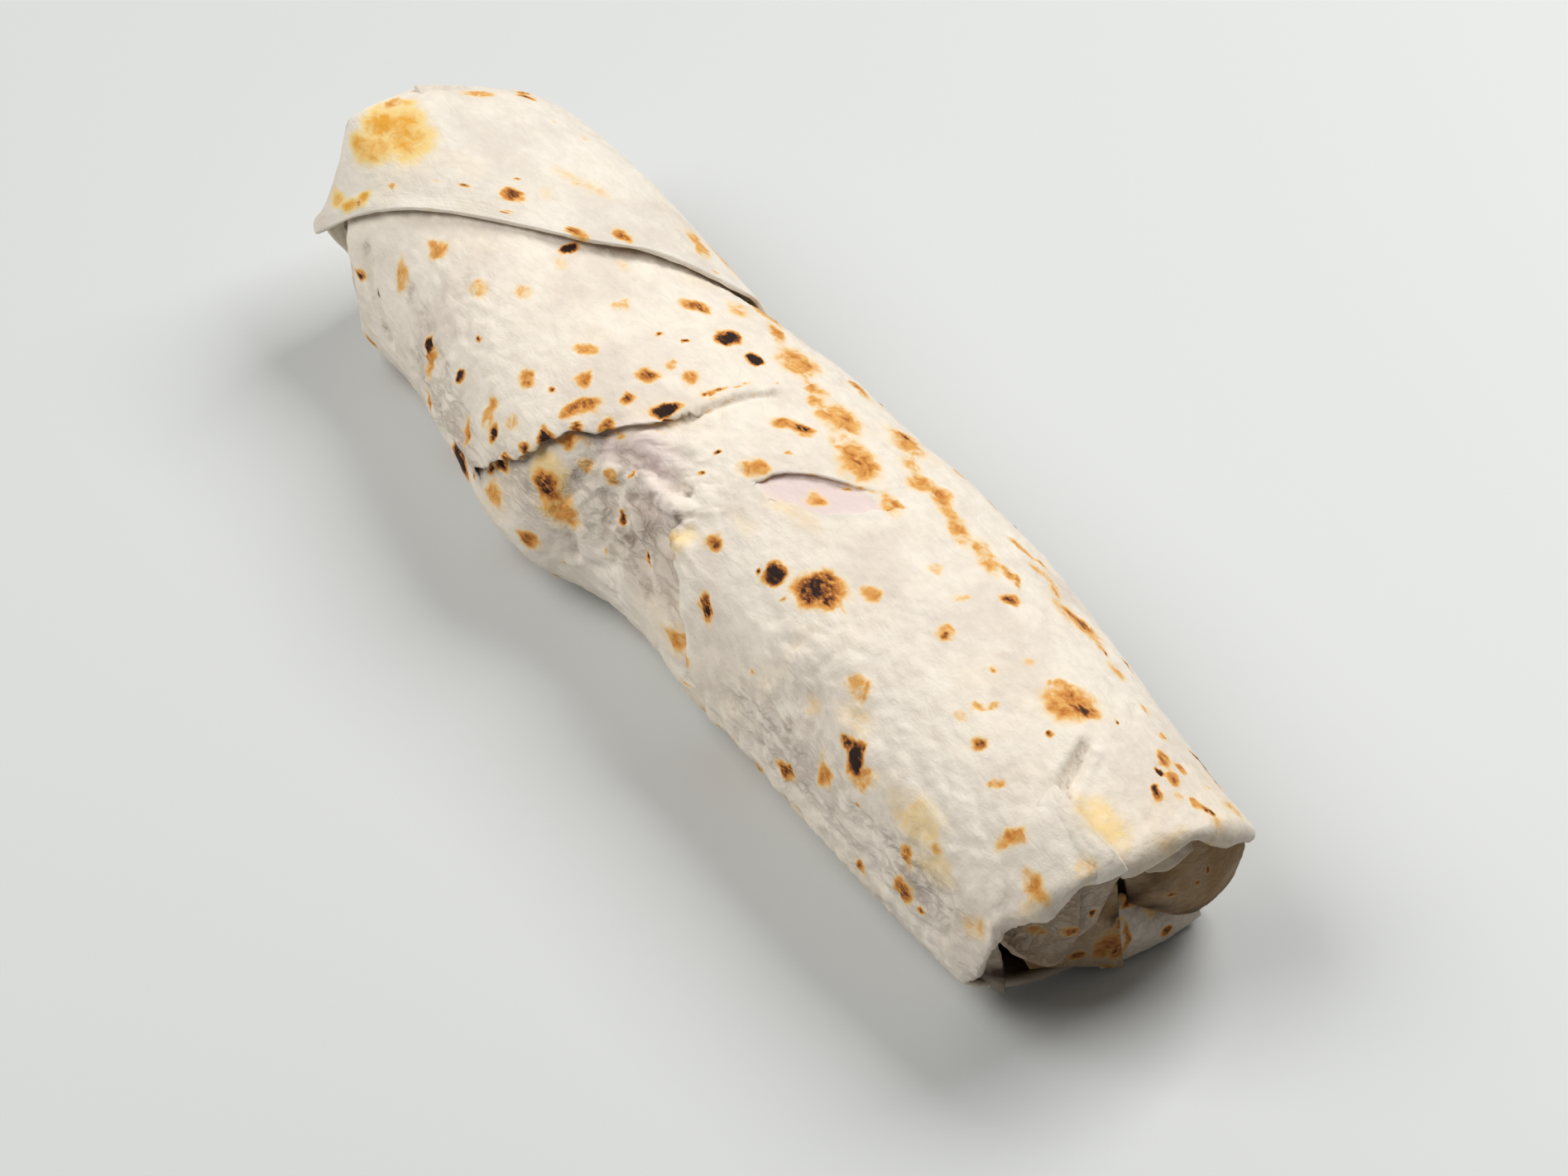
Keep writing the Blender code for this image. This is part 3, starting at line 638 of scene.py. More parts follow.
# %% Wrinkle every surface
CRUMPLED = (           # distance, angle, reach in mm, strength
    (128, 66, 24, 1.0), (190, 72, 26, 0.9), (236, 74, 22, 0.8), (214, 84, 26, 0.8),
    (60, 78, 26, 0.7), (148, 88, 18, 0.8), (192, 56, 14, 0.8), (258, 62, 12, 0.8),
)
SMOOTH = 0.2           # how crumpled the rest of the bread is
SWELL, CRUMPLE, GRAIN = 0.4, 1.4, 0.08         # height of each kind of wrinkle in mm
LEAF_SHARE = 0.7       # the leaves are wrinkled less than the roll


def crumple(points):
    """How crumpled the bread is at each point: SMOOTH where it is smooth, up to 1."""
    amount = np.full(len(points), SMOOTH)
    for distance, angle, reach, strength in CRUMPLED:
        gap = np.linalg.norm(points - skin(distance, angle, 0.0), axis=1) / reach
        amount = np.maximum(amount, strength * np.exp(-gap * gap))
    return amount


def ridged(place, octaves):
    """Noise with sharp valleys, like creased cloth: 0 in the crease, 1 between."""
    return min(1.0, abs(noise.fractal(place, 0.8, 2.0, octaves)) * 2.2)


def wrinkle(thing, scale=1.0):
    """Move every point of a piece along its normal by broad, crumpled and fine noise."""
    data = thing.data
    points = np.array([vert.co for vert in data.vertices]) / MM
    normals = np.array([vert.normal for vert in data.vertices])
    amount = crumple(points)
    lift = np.empty(len(points))
    for index, (x, y, z) in enumerate(points):
        broad = noise.noise(Vector((x, y, z)) / 16.0)
        crease = ridged(Vector((x / 11.0, y / 6.0, z / 6.0)), 3) - 0.6
        crease += 0.45 * (ridged(Vector((x / 4.2, y / 2.8, z / 2.8 + 9.0)), 2) - 0.6)
        grain = noise.noise(Vector((x, y, z)) / 2.4) + 0.6 * noise.noise(Vector((x, y, z)) / 1.2)
        lift[index] = SWELL * broad + CRUMPLE * crease * amount[index] + GRAIN * grain
    lift *= scale * ease(points[:, 2], 0.2, 2.5)
    moved = (points + normals * lift[:, None]) * MM
    data.vertices.foreach_set("co", moved.ravel())
    data.update()


wrinkle(roll)
for thing in bread[1:]:
    wrinkle(thing, LEAF_SHARE)
print("wrinkled", len(bread), "pieces")

# %% [markdown]
# ## Where the bread is browned
# A hot plate browns bread where it touches: pale gold at the rim of a blister, then brown, then
# black in the middle. One value, heat, holds all of that: it is highest in the middle of a mark
# and falls to nothing at its rim, and the finish turns it into colours later. It is stored under the
# name browning, because the renderer keeps the name heat for fire and smoke.

# %% The marks, as places on the roll
BLISTERS = (           # distance, angle, lift, half length, half width, turn, heat
    (41.5, 4, 3, 4.2, 3.0, 10, 1.05), (2, 12, 5, 3.4, 2.4, 80, 0.5), (9, -34, 4, 3.0, 2.0, 60, 0.95),
    (33, 30, 3, 2.4, 1.6, 0, 0.35), (61, 1.5, 0, 4.2, 2.4, 80, 1.9), (40, 38, 0, 4.6, 3.6, 0, 0.62),
    (35, 58, 0, 6.0, 3.4, -60, 0.45), (58, 36, 0, 4.4, 3.2, -20, 0.4), (66, 24, 0, 3.4, 2.6, 0, 0.38),
    (64, 8, 0, 3.4, 2.4, 0, 0.3), (72, -9, 0, 3.6, 2.4, 0, 0.3), (82, 2, 0, 3.6, 2.6, 0, 0.42),
    (91, -18, 0, 5.6, 3.0, 30, 0.9), (54.5, 69, 0, 3.4, 2.5, -60, 1.6),
    (57, 75, 0, 6.0, 4.0, -60, 0.62), (70, 61, 0, 2.5, 2.3, 0, 1.9), (88, 63, 0, 3.5, 2.9, -60, 1.4),
    (84, 59, 0, 4.6, 2.8, -60, 0.5), (92, 54, 0, 3.4, 2.6, 0, 0.38), (79, 74, 0, 4.4, 2.6, -60, 0.8),
    (56, 93, 0, 4.4, 2.4, -60, 0.7), (86, 42, 0, 3.6, 3.2, 0, 0.62), (96, 28, 0, 3.6, 3.2, 0, 0.7),
    (93, 37, 0, 1.8, 1.6, 0, 1), (104, 12, 0, 4.0, 3.2, 60, 0.85), (89, 21, 0, 4.4, 2.6, 20, 0.55),
    (107, 23, 0, 3.0, 2.6, 0, 0.9), (109, 3, 0, 3.2, 2.8, 0, 0.66), (104, 5, 0, 2.4, 2.2, 0, 0.45),
    (95, 1, 0, 2.0, 1.3, 60, 1.2), (100, -5, 0, 1.3, 1.1, 0, 1.1), (102, 35, 0, 6.0, 4.4, 55, 0.8),
    (101, 50, 0, 4.2, 3.0, 40, 1.5), (104.5, 46, 0, 3.6, 2.2, 40, 0.7), (98, 59, 0, 3.0, 2.4, 0, 1.2),
    (92, 75, 0, 4.6, 2.6, 20, 1.2), (95, 67, 0, 2.0, 1.6, 0, 1), (109, 35, 0, 4.0, 2.4, -60, 0.85),
    (106, 41, 0, 1.9, 1.4, 0, 1.1), (115, 18, 0, 5.6, 3.5, 68, 1.9), (112, 34, 0, 2.4, 2.0, 0, 0.42),
    (103.5, -17, 0, 4.6, 3.7, 0, 1.45), (112, -17, 0, 3.6, 2.5, 30, 1.6),
    (104, 93, 0, 5.0, 4.4, 20, 0.8), (134, 70, 0, 3.1, 2.4, -60, 1.3),
    (110, 51, 0, 2.8, 2.4, 0, 0.38), (117, 50, 0, 2.6, 2.4, 0, 0.48), (23, 76, 0, 2.8, 2.2, 0, 1.2),
    (22, 94, 0, 3.0, 2.6, 0, 1.2), (134, -8, 0, 7.5, 3.2, 25, 0.72), (136, -11, 0, 3.2, 2.0, 25, 1.1),
    (140, 11, 0, 5.0, 3.8, 20, 0.58), (154, 2, -1, 4.2, 2.6, 0, 0.5),
    (158, 62, 0, 4.2, 3.0, -50, 1.6), (155.5, 60, 0, 3.2, 2.6, 0, 0.9),
    (148, 41, 0, 3.8, 3.2, 0, 0.8), (175, 25, 0, 9.0, 7.2, 20, 1.12), (165, 32, 0, 4.2, 3.7, 40, 1.3),
    (183, 12, 0, 4.0, 3.2, 60, 0.56), (133, 27, 0, 1.6, 1.2, 0, 1.1), (131, 15, 0, 1.3, 1.1, 0, 1.2),
    (201, 3, 0, 4.0, 3.4, 0, 0.52), (201.6, 4, 0, 1.7, 1.2, 0, 1.6),
    (199, -22, 0, 4.0, 3.3, 20, 0.98), (199, 37, 0, 4.6, 3.4, 30, 0.46),
    (210, 57, 0, 5.6, 4.0, -60, 1.7), (206.5, 55, 0, 4.4, 2.4, 10, 1.1),
    (213, 60, 0, 5.4, 4.4, 0, 0.5), (227, 21, 0, 3.6, 3.2, 0, 0.8), (222, 8, 0, 2.4, 2.0, 0, 0.46),
    (220, 12, 0, 2.4, 2.0, 0, 0.46), (219, 18, 0, 2.4, 2.0, 0, 0.36),
    (229.5, -11, 0, 9.0, 8.0, 0, 0.66), (233, -13, 0, 5.4, 3.6, 60, 1),
    (224, -14, 0, 3.4, 3.0, 0, 0.6), (233.5, 1, 0, 1.5, 1.3, 0, 1.3),
    (237, 26, 0, 3.2, 2.4, 30, 0.55), (248, 36, 0, 6.0, 3.4, 60, 0.6),
    (249, -29, 0, 4.8, 2.6, -20, 0.7), (252, -21, 0, 1.9, 1.6, 0, 1.9),
    (254, -25, 0, 3.2, 2.4, 0, 0.75), (252, -33, 0, 2.4, 1.8, 0, 0.6),
    (257, -14, 0, 3.2, 1.9, -40, 1.1), (259, -21, 0, 2.0, 1.8, 0, 0.42),
    (262, -28, 0, 3.0, 2.2, 30, 0.58), (264, -31, 0, 2.6, 1.2, 60, 1.3),
    (247, -63, 0, 4.0, 1.6, -15, 1.7), (234, -43, 0, 2.6, 2.0, 0, 0.42),
    (243, -40, 0, 2.4, 2.0, 0, 0.44), (231, 72, 0, 4.0, 3.2, -60, 0.75),
    (233, 86, 0, 4.4, 3.2, 0, 0.8), (193, 88, 0, 4.8, 3.4, 0, 0.85), (204, 74, 0, 4.0, 3.0, 0, 0.65),
    (158, 82, 0, 4.4, 3.2, 0, 0.45), (6, -37, 3, 4.0, 2.2, 70, 0.95), (66, -14, 3, 5.0, 2.4, 0, 0.75),
    (60, -2, 3, 4.0, 2.0, 0, 0.7), (259, 40, 0, 5.5, 3.6, 0, 0.55), (165, -15, 0, 2.4, 1.4, 0, 0.8),
    (216, -10, 0, 2.4, 1.8, 0, 0.36), (185, -9, 0, 2.8, 2.2, 0, 0.34),
    (194, -8, 0, 3.0, 2.2, 60, 0.36), (217, -47, 0, 1.5, 1.2, 0, 1.5),
    (126, -63, 0, 3.0, 1.6, -15, 1.7), (143, -49, 0, 3.0, 2.0, 0, 1.15),
    (172, -64, 0, 4.0, 1.6, -15, 1.5), (219, -61, 0, 5.5, 1.6, -15, 1.6),
    (89, -57, 0, 6.0, 2.0, -15, 1.8),
)
TOASTED = (            # the same, for golden patches without a dark middle
    (104, -38, 0, 7.8, 2.97, -25, 0.62), (115, -32, 0, 10.4, 8.1, -25, 0.64),
    (123, -27, 0, 6.5, 4.05, -20, 0.72), (129, -23, 0, 4.68, 3.24, 0, 0.54),
    (136.5, -25, 0, 9.75, 8.1, -25, 0.64), (150, -17, 0, 12.35, 7.56, -20, 0.68),
    (164, -13, 0, 6.5, 3.4, -20, 0.42), (122, -53, 0, 11.7, 3.78, -15, 0.64),
    (146, -46, 0, 10.4, 7.29, -15, 0.54), (154, -35, 0, 7.8, 4.32, -20, 0.45),
    (161, -30, 0, 6.5, 5.4, 0, 0.58), (166, -33, 0, 6.76, 4.32, -15, 0.66),
    (171, -29, 0, 4.16, 3.24, 0, 0.52), (177, -26, 0, 9.1, 4.05, -20, 0.58),
    (186, -26, 0, 10.4, 3.78, -15, 0.5), (192, -28, 0, 4.68, 2.43, -15, 0.64),
    (155, -62, 0, 5.2, 2.7, 0, 0.55), (165, -64, 0, 6.5, 3.51, -15, 0.55),
    (184, -47, 0, 5.98, 2.43, 30, 0.52), (188, -52, 0, 5.98, 2.16, 30, 0.62),
    (192, -48, 0, 6.5, 2.97, 30, 0.5), (197, -47, 0, 5.2, 2.7, 0, 0.52),
    (206, -47, 0, 10.4, 3.51, 15, 0.92), (207, -46, 0, 13, 5.94, 10, 0.5),
    (213, -47, 0, 6.5, 3.51, 0, 0.42), (223, -45, 0, 6.5, 3.24, -10, 0.46),
    (194, -30, 0, 6.5, 1.76, -20, 0.77), (110, 76, 0, 7.5, 6.8, 0, 0.52),
    (92, 89, 0, 6, 5.6, 0, 0.55), (149, 89, 0, 6, 5, 0, 0.62), (46, -17, 3, 14, 4, 20, 0.3),
    (46, -4, 3, 5, 3, 0, 0.24), (6, -15, 4.5, 6.5, 3.2, 80, 0.62), (70, -46, 3, 10, 3.4, -15, 0.52),
    (73, -60, 3, 10, 5, 0, 0.52), (168, 104, 0, 9, 4, 0, 0.52), (94, -50, 0, 11.7, 4.59, -15, 0.58),
    (94, -34, 0, 7.8, 4.86, -20, 0.36), (156, 12, 0, 14, 5, 10, 0.24), (236, 60, 0, 3, 2.4, 0, 0.45),
    (192, 55, 0, 5, 3, 0, 0.3), (141, 50, 0, 6, 2.4, 60, 0.3), (150, 28, 0, 9, 4, 0, 0.18),
    (263, 24, 0, 4, 6, 0, 0.36), (252, 73, 0, 6, 5, 0, 0.34), (260, 45, 0, 3.4, 9, 0, 0.3),
    (266, -8, 0, 3, 7, 0, 0.26), (266, -30, 0, 3, 5, 0, 0.34), (262, -50, 0, 4, 5, 0, 0.42),
    (190, 100, 0, 14, 5, 0, 0.3), (203, 46, 0, 10, 7, 0, 0.24), (226, 57, 0, 10, 8, 0, 0.24),
)
STREAKS = (            # cracks and torn edges that have charred: lines of places, half width and heat
    (((113.5, 9), (115.5, 4), (116.5, -2), (118.5, -9)), 0.9, 1.5),
    (((157, -10), (161, -12.5), (165, -14)), 0.8, 0.9),
    (((88, 82), (93, 69), (97, 60), (101.5, 50)), 1.7, 1.35),
    (((102, 50), (105.5, 45), (108, 41)), 1.6, 0.75),
    (((108, 41), (111, 36), (114.5, 32), (119, 26)), 0.8, 1.0),
    (((158, 93), (164, 96), (171, 99), (181, 101), (193, 102), (206, 103)), 2.0, 0.72),
    (((106.5, 79), (110, 76.5), (113.5, 73)), 0.5, 1.4),
    (((115.5, 26), (119, 15), (120.2, 4), (122, -8)), 1.2, 0.45),
    (((158.5, -11), (150.4, -2.5), (146, 3), (144.4, 10)), 1.0, 0.85),
    (((139, 57), (141, 51), (141, 46), (142.5, 42)), 0.6, 1.0),
    (((109, -34), (118, -32), (127, -27), (136, -21), (145, -17), (153, -14)), 4.8, 0.46),
    (((242, -59), (245, -60), (248, -60)), 1.0, 1.9),
    (((188, 97), (191, 98.5), (194, 99.5)), 1.1, 1.9),
)
END_MARKS = (          # on the folded end: distance, y, z, half width, half height, heat
    (257.5, -14, 24.3, 3.4, 1.8, 1.05), (255.5, -20.7, 24.6, 3.4, 2.4, 0.62),
    (259.5, -8.6, 27.3, 1.3, 1.3, 1.3), (256, -8.3, 8.8, 3.0, 2.6, 1.2), (260, -3, 12, 4.2, 9, 0.75),
    (257.5, 12, 4.6, 3.2, 2.8, 1.1), (264, 13, 26, 1.4, 1.4, 1.3), (263.5, 8, 24.3, 3.2, 1.3, 0.8),
    (264.5, 15.6, 28.9, 1.1, 1.1, 1.1), (260, -1.2, 19, 2.0, 4.5, 0.95),
    (259.5, -1, 9, 3.0, 5.5, 1.05), (258.5, -2.5, 3, 4.0, 2.0, 0.8), (260, 5, 17, 6.0, 2.0, 0.5),
    (257, 2.6, 8, 1.5, 6.5, 0.85), (257, 6, 14.5, 5.0, 2.4, 0.95), (257, 12, 11.5, 5.5, 2.0, 0.85),
    (257, 18, 9, 5.0, 1.8, 0.75),
)
END_HOLLOW_SHADE = (         # the same, for painted shade, nearly black, in the gaps and hollows between the folds
    (258, 0, 22, 6, 15, 1.6), (258, 5, 18, 10, 6, 1.5), (258, 14, 13, 11, 4.5, 1.3),
    (254, -24, 10, 5, 11, 1.5), (250, -27, 8, 8, 10, 1.2), (262, 14, 42, 12, 5, 0.8),
    (259, -13, 39, 5, 8, 0.5), (258, -26, 33, 7, 6, 0.6), (258, -15, 19, 7, 5, 0.5),
    (262, 4, 30, 5, 9, 0.7),
)
GOLDEN = (             # and for bright smears of yellow
    (5, 20, 5, 8, 7, 0, 1.0), (11, 16, 5, 12, 8.5, -20, 0.8), (9, 28, 5, 8, 6, 20, 0.75),
    (5, 30, 4.5, 5, 3.5, 0, 0.8), (4, 9, 5, 3.5, 2.4, 60, 0.8), (8, 52, 3, 4.5, 3, 0, 0.75),
    (12, 50, 3, 5, 2.6, 40, 0.8), (15, 45, 3, 4, 2.6, 60, 0.85), (230, 56, 0, 9, 6, 20, 0.28),
    (104, 60, 0, 8, 5, 0, 0.35), (257, 8, 0, 12, 6, 0, 0.27), (238, 66, 0, 9, 5, 0, 0.22),
    (142, 50, 0, 7, 5, 60, 0.26),
)
FURROW_SHADE = (            # painted shade beside the overlapping edge and along the deeper creases
    (((138, 46), (138, 52), (141, 58), (147, 66), (152, 78), (158, 90), (164, 98)), 4.2, 1.5),
    (((136, 44), (137, 52), (141, 60), (146, 69)), 3.6, 1.7),
    (((108, 52), (111, 60), (110, 72)), 4.0, 0.8), (((118, 44), (126, 46), (134, 48)), 2.4, 0.7),
) + tuple((places, 1.7 * width, min(1.0, -0.42 * rise)) for places, width, rise in CREASES if rise < -0.6)
STAINED = (            # and where the filling has tinted the bread lilac
    (120, 34, 0, 15, 8, 0, 0.9), (112, 40, 0, 8, 5, 0, 0.9), (130, 45, 0, 12, 7, 0, 0.35),
)
SHADED = (             # and painted shade, grey and darker, on the crumpled side and under the near lip
    (128, 68, 0, 24, 14, 0, 0.62), (70, 82, 0, 36, 12, 0, 0.55), (192, 80, 0, 36, 12, 0, 0.45),
    (260, 96, 0, 14, 12, 0, 1.0), (236, 78, 0, 24, 12, 0, 0.55), (100, 72, 0, 18, 12, 0, 0.55),
    (186, 52, 0, 14, 7, 0, 0.12),
)
print(len(BLISTERS) + len(TOASTED), "marks placed by hand")

# %% [markdown]
# ## From places to values on the mesh
# Every mark is an ellipse lying on the bread. For each point of a piece the script measures how
# far inside the nearest ellipses it lies, and stores the result with the mesh, so the marks stay
# where they are however the piece is viewed.

# %% How far inside a mark a point lies
def mark_frame(distance, angle, lift, turn):
    """A mark's centre and its two directions on the bread."""
    centre = skin(distance, angle, float(lift))
    along = np.array([1.0, 0.0, 0.0])
    normal = outward(np.float64(distance), np.float64(angle))
    across = np.cross(normal, along)
    cosine, sine = math.cos(math.radians(turn)), math.sin(math.radians(turn))
    return centre, along * cosine + across * sine, across * cosine - along * sine, normal


HALO = 0.52            # heat of the golden rim round a dark core
STREAK_REACH, STREAK_HEIGHT = 9, 5     # mm from a streak's line, sideways and outwards, that it can reach
END_REACH = 7.0        # the same along the roll for a mark on the folded end


def along_streaks(points, streaks):
    """Highest value of any streak at each point, broken up along its length."""
    value = np.zeros(len(points))
    for places, width, strength in streaks:
        line = [skin(distance, angle, 0.0) for distance, angle in places]
        for start, end in zip(line[:-1], line[1:]):
            run = end - start
            share = np.clip((points - start) @ run / (run @ run), 0, 1)
            gap = points - start - share[:, None] * run
            height = np.abs(gap @ outward(*[np.float64(part) for part in places[0]]))
            near = (np.linalg.norm(gap, axis=1) < STREAK_REACH) & (height < STREAK_HEIGHT)
            depth = 1 - np.linalg.norm(gap[near], axis=1) / width
            broken = np.array([0.75 + 1.1 * noise.noise(Vector(point) / 2.6)
                               for point in points[near]])
            value[near] = np.maximum(value[near], strength * ease(depth, 0.0, 1.0) * broken)
    return value


def wobble(points):
    """Points shifted by 0.7 mm on average, so that no mark has a clean outline."""
    shifts = np.array([noise.noise_vector(Vector(point) / 5.0) * 1.4
                       + noise.noise_vector(Vector(point) / 2.0) * 0.7 for point in points])
    return points + shifts


def inside_marks(points, marks, soft):
    """Highest value of any mark at each point; soft is the share of the radius over which it rises."""
    value = np.zeros(len(points))
    for distance, angle, lift, long, wide, turn, strength in marks:
        centre, along, across, normal = mark_frame(distance, angle, lift, turn)
        gap = points - centre
        depth = 1 - np.hypot(gap @ along / long, gap @ across / wide)
        near = 1 - ease(np.abs(gap @ normal), 4.0, 8.0)
        halo, core = min(strength, HALO), max(strength - HALO, 0.0)
        level = halo * ease(depth, 0.0, soft) + core * ease(depth, 0.3, 0.3 + soft)
        value = np.maximum(value, level * near)
    return value


def end_marks(points, marks):
    """Highest value of the marks on the folded end, which face along the roll."""
    value = np.zeros(len(points))
    for distance, y, z, wide, tall, strength in marks:
        gap = points - (np.array([distance - MIDDLE, y, z]) + FRAME_SHIFT)
        depth = 1 - np.hypot(gap[:, 1] / wide, gap[:, 2] / tall)
        facing = np.abs(gap[:, 0]) < END_REACH
        value = np.maximum(value, strength * ease(depth, 0.0, 1.0) * facing)
    return value


print("a mark's golden rim takes the first", HALO, "of its heat")

# %% [markdown]
# ## Small marks, and what differs from piece to piece
# Besides the large marks the bread has many small freckles. Their places are drawn at random from a
# fixed seed, so they come out the same each time. Some of the leaves in the ends also get a sauce
# tint with painted shade, and painted shade with pucker lines, each by its own amount.

# %% Scattered marks, and leaves with sauce tint, painted shade and puckers
def scattered_marks(count, seed):
    """Small marks strewn at random over the sides that the listed ones leave bare."""
    draw = np.random.default_rng(seed)
    marks = []
    for _ in range(count):
        size = draw.uniform(0.8, 4.6) ** 1.15
        angle = draw.choice((-1, -1, -1, 1)) * draw.uniform(62, 165)
        marks.append((draw.uniform(4, 262), angle, 0, size * draw.uniform(1, 1.6), size,
                      draw.uniform(-40, 40), draw.uniform(0.35, 1.4)))
    return tuple(marks)


def flecks(count, seed):
    """Tiny specks all over."""
    draw = np.random.default_rng(seed)
    return tuple((draw.uniform(4, 264), draw.uniform(-170, 170), draw.choice((0, 3)),
                  draw.uniform(0.9, 1.7), draw.uniform(0.8, 1.3), 0, draw.uniform(0.3, 1.3))
                 for _ in range(count))


# how much sauce tint with painted shade each leaf of the ends gets
SOAK_AND_SHADE = {"near_base_panel": 0.3, "near_lower_layer": 1.0, "near_left_panel": 0.6, "near_pouch": 0.75,
          "near_pouch_fold": 0.7, "near_right_panel": 1.1, "near_tongue": 0.3,
          "far_front_tuck": 0.3, "far_back_tuck": 0.3}
# base level of painted shade and pucker lines on each leaf
PUCKER_AND_SHADE = {"near_pouch": 0.75, "near_right_panel": 0.45, "near_lower_layer": 0.5, "near_pouch_fold": 0.4,
            "near_base_panel": 0.2}
SCATTERED = scattered_marks(count=110, seed=7)
FLECKS = flecks(count=150, seed=11)
ON_FLAP = 1.5          # a mark with more lift than this lies on the end flap
print(len(SCATTERED), "small marks and", len(FLECKS), "specks drawn")

# %% [markdown]
# ## Storing the values
# Each piece gets six numbers for every vertex: its browning, its gold, its lilac stain, its painted
# shade, its sauce tint with painted shade, and its painted shade in hollows. The roll's layers matter
# here: a mark on the upper turn stops at the torn edge, and the layer seen through the split is
# stained all over.

# %% Store the marks with every piece
def store(thing, name, values):
    """Keep one number for each vertex with the mesh."""
    layer = thing.data.attributes.new(name, "FLOAT", "POINT")
    layer.data.foreach_set("value", np.asarray(values, np.float32))


def on_layer(marks, layer):
    """The marks that belong to one layer: the flap, or one side of the torn edge of the roll."""
    if layer == FLAP:
        return tuple(mark for mark in marks if mark[2] > ON_FLAP)
    past_edge = [mark[0] > blend(np.float64(mark[1]), TORN_EDGE) for mark in marks]
    return tuple(mark for mark, past in zip(marks, past_edge)
                 if mark[2] <= ON_FLAP and past == (layer == LOWER))


def browned(points, layer):
    """Heat of every mark of one layer at each point."""
    heat = inside_marks(points, on_layer(BLISTERS + SCATTERED + FLECKS, layer), 0.6)
    return np.maximum(heat, inside_marks(points, on_layer(TOASTED, layer), 0.8))


LOW_LIP, LOW_LIP_TOP = (116, 119), (3, 8)      # where along the roll, and up to what height, the low sauce tint with painted shade lies
# sauce tint with painted shade on the far lips, extra on the near lips, and low down
FAR_LIP_SOAK_SHADE, NEAR_LIP_EXTRA, LOW_LIP_SOAK_SHADE = 0.3, 0.5, 0.7
SPLIT_SIDES, SPLIT_FLOOR = (-7.6, 9.5), 40     # across the roll, and above which height, in mm
# how strongly the painted shadow under the free edges darkens the colour
EDGE_SHADOW_DARK = 0.75
DARKEST_SHADE = 1.3


def soaked_roll(points, layer):
    """Sauce tint with painted shade on the roll: full inside its mouths, partial on their lips and low down
    at the near end.
    """
    low_lip = ease(points[:, 0], *LOW_LIP) * (1 - ease(points[:, 2], *LOW_LIP_TOP))
    lip = np.where(layer >= LIP, layer - LIP, 0.0)
    lip *= FAR_LIP_SOAK_SHADE + NEAR_LIP_EXTRA * (points[:, 0] > 0)
    return np.maximum(np.maximum(layer == INSIDE, lip), LOW_LIP_SOAK_SHADE * low_lip)


def open_split(points, layer):
    """Where the layer below shows through the split on top of the roll."""
    across = (points[:, 1] > SPLIT_SIDES[0]) * (points[:, 1] < SPLIT_SIDES[1])
    return (layer == OPENING) * across * (points[:, 2] > SPLIT_FLOOR)


def bake_marks(thing):
    """Store browning, gold, stain, painted shade, sauce tint with shade and hollow shade for each vertex.
    """
    points = np.array([vert.co for vert in thing.data.vertices]) / MM
    moved = wobble(points)
    stain = inside_marks(points, STAINED, 0.8)
    if thing == roll:
        layer, tucked = [np.array([value.value for value in thing.data.attributes[name].data])
                         for name in ("layer", "tucked")]
        heat = np.where(layer == UPPER, browned(moved, UPPER), browned(moved, LOWER))
        heat = np.maximum(heat, along_streaks(moved, STREAKS))
        stain = np.maximum(stain, open_split(points, layer))
        soaked = soaked_roll(points, layer)
        # painted shade, nearly black, inside the mouths, and the painted shadow under the free edges
        deep = np.maximum(layer == INSIDE, EDGE_SHADOW_DARK * tucked)
    else:
        heat = browned(moved, FLAP if thing == flap else LOWER)
        soaked = np.full(len(points), SOAK_AND_SHADE.get(thing.name, 0.0))
        # painted shade in the gaps and hollows between the folds
        deep = end_marks(moved, END_HOLLOW_SHADE)
    shade = np.maximum(inside_marks(points, SHADED, 0.9), PUCKER_AND_SHADE.get(thing.name, 0.0))
    store(thing, "browning", np.maximum(heat, end_marks(moved, END_MARKS)))
    store(thing, "gold", inside_marks(moved, GOLDEN, 0.7))
    store(thing, "stain", stain)
    store(thing, "shade", np.minimum(DARKEST_SHADE, shade + along_streaks(moved, FURROW_SHADE)))
    store(thing, "soaked", soaked)
    store(thing, "deep", deep)


for thing in bread:
    bake_marks(thing)
print("marks stored on", len(bread), "pieces")

# %% [markdown]
# ## The finish of the bread
# Toasted flatbread is matt and a little translucent: cream, with marks from gold to black and a
# floury grain. Shader nodes can mix all of that from noise and the values stored on the mesh. A
# small class adds and links each node in one call, so that the steps read like a recipe.

# %% A small helper for shader nodes, and the bread's colours
def linear(red, green, blue):
    """A screen colour from 0 to 255 as linear light, with full opacity."""
    parts = [channel / 255 for channel in (red, green, blue)]
    light = [part / 12.92 if part <= 0.04045 else ((part + 0.055) / 1.055) ** 2.4 for part in parts]
    return light + [1.0]


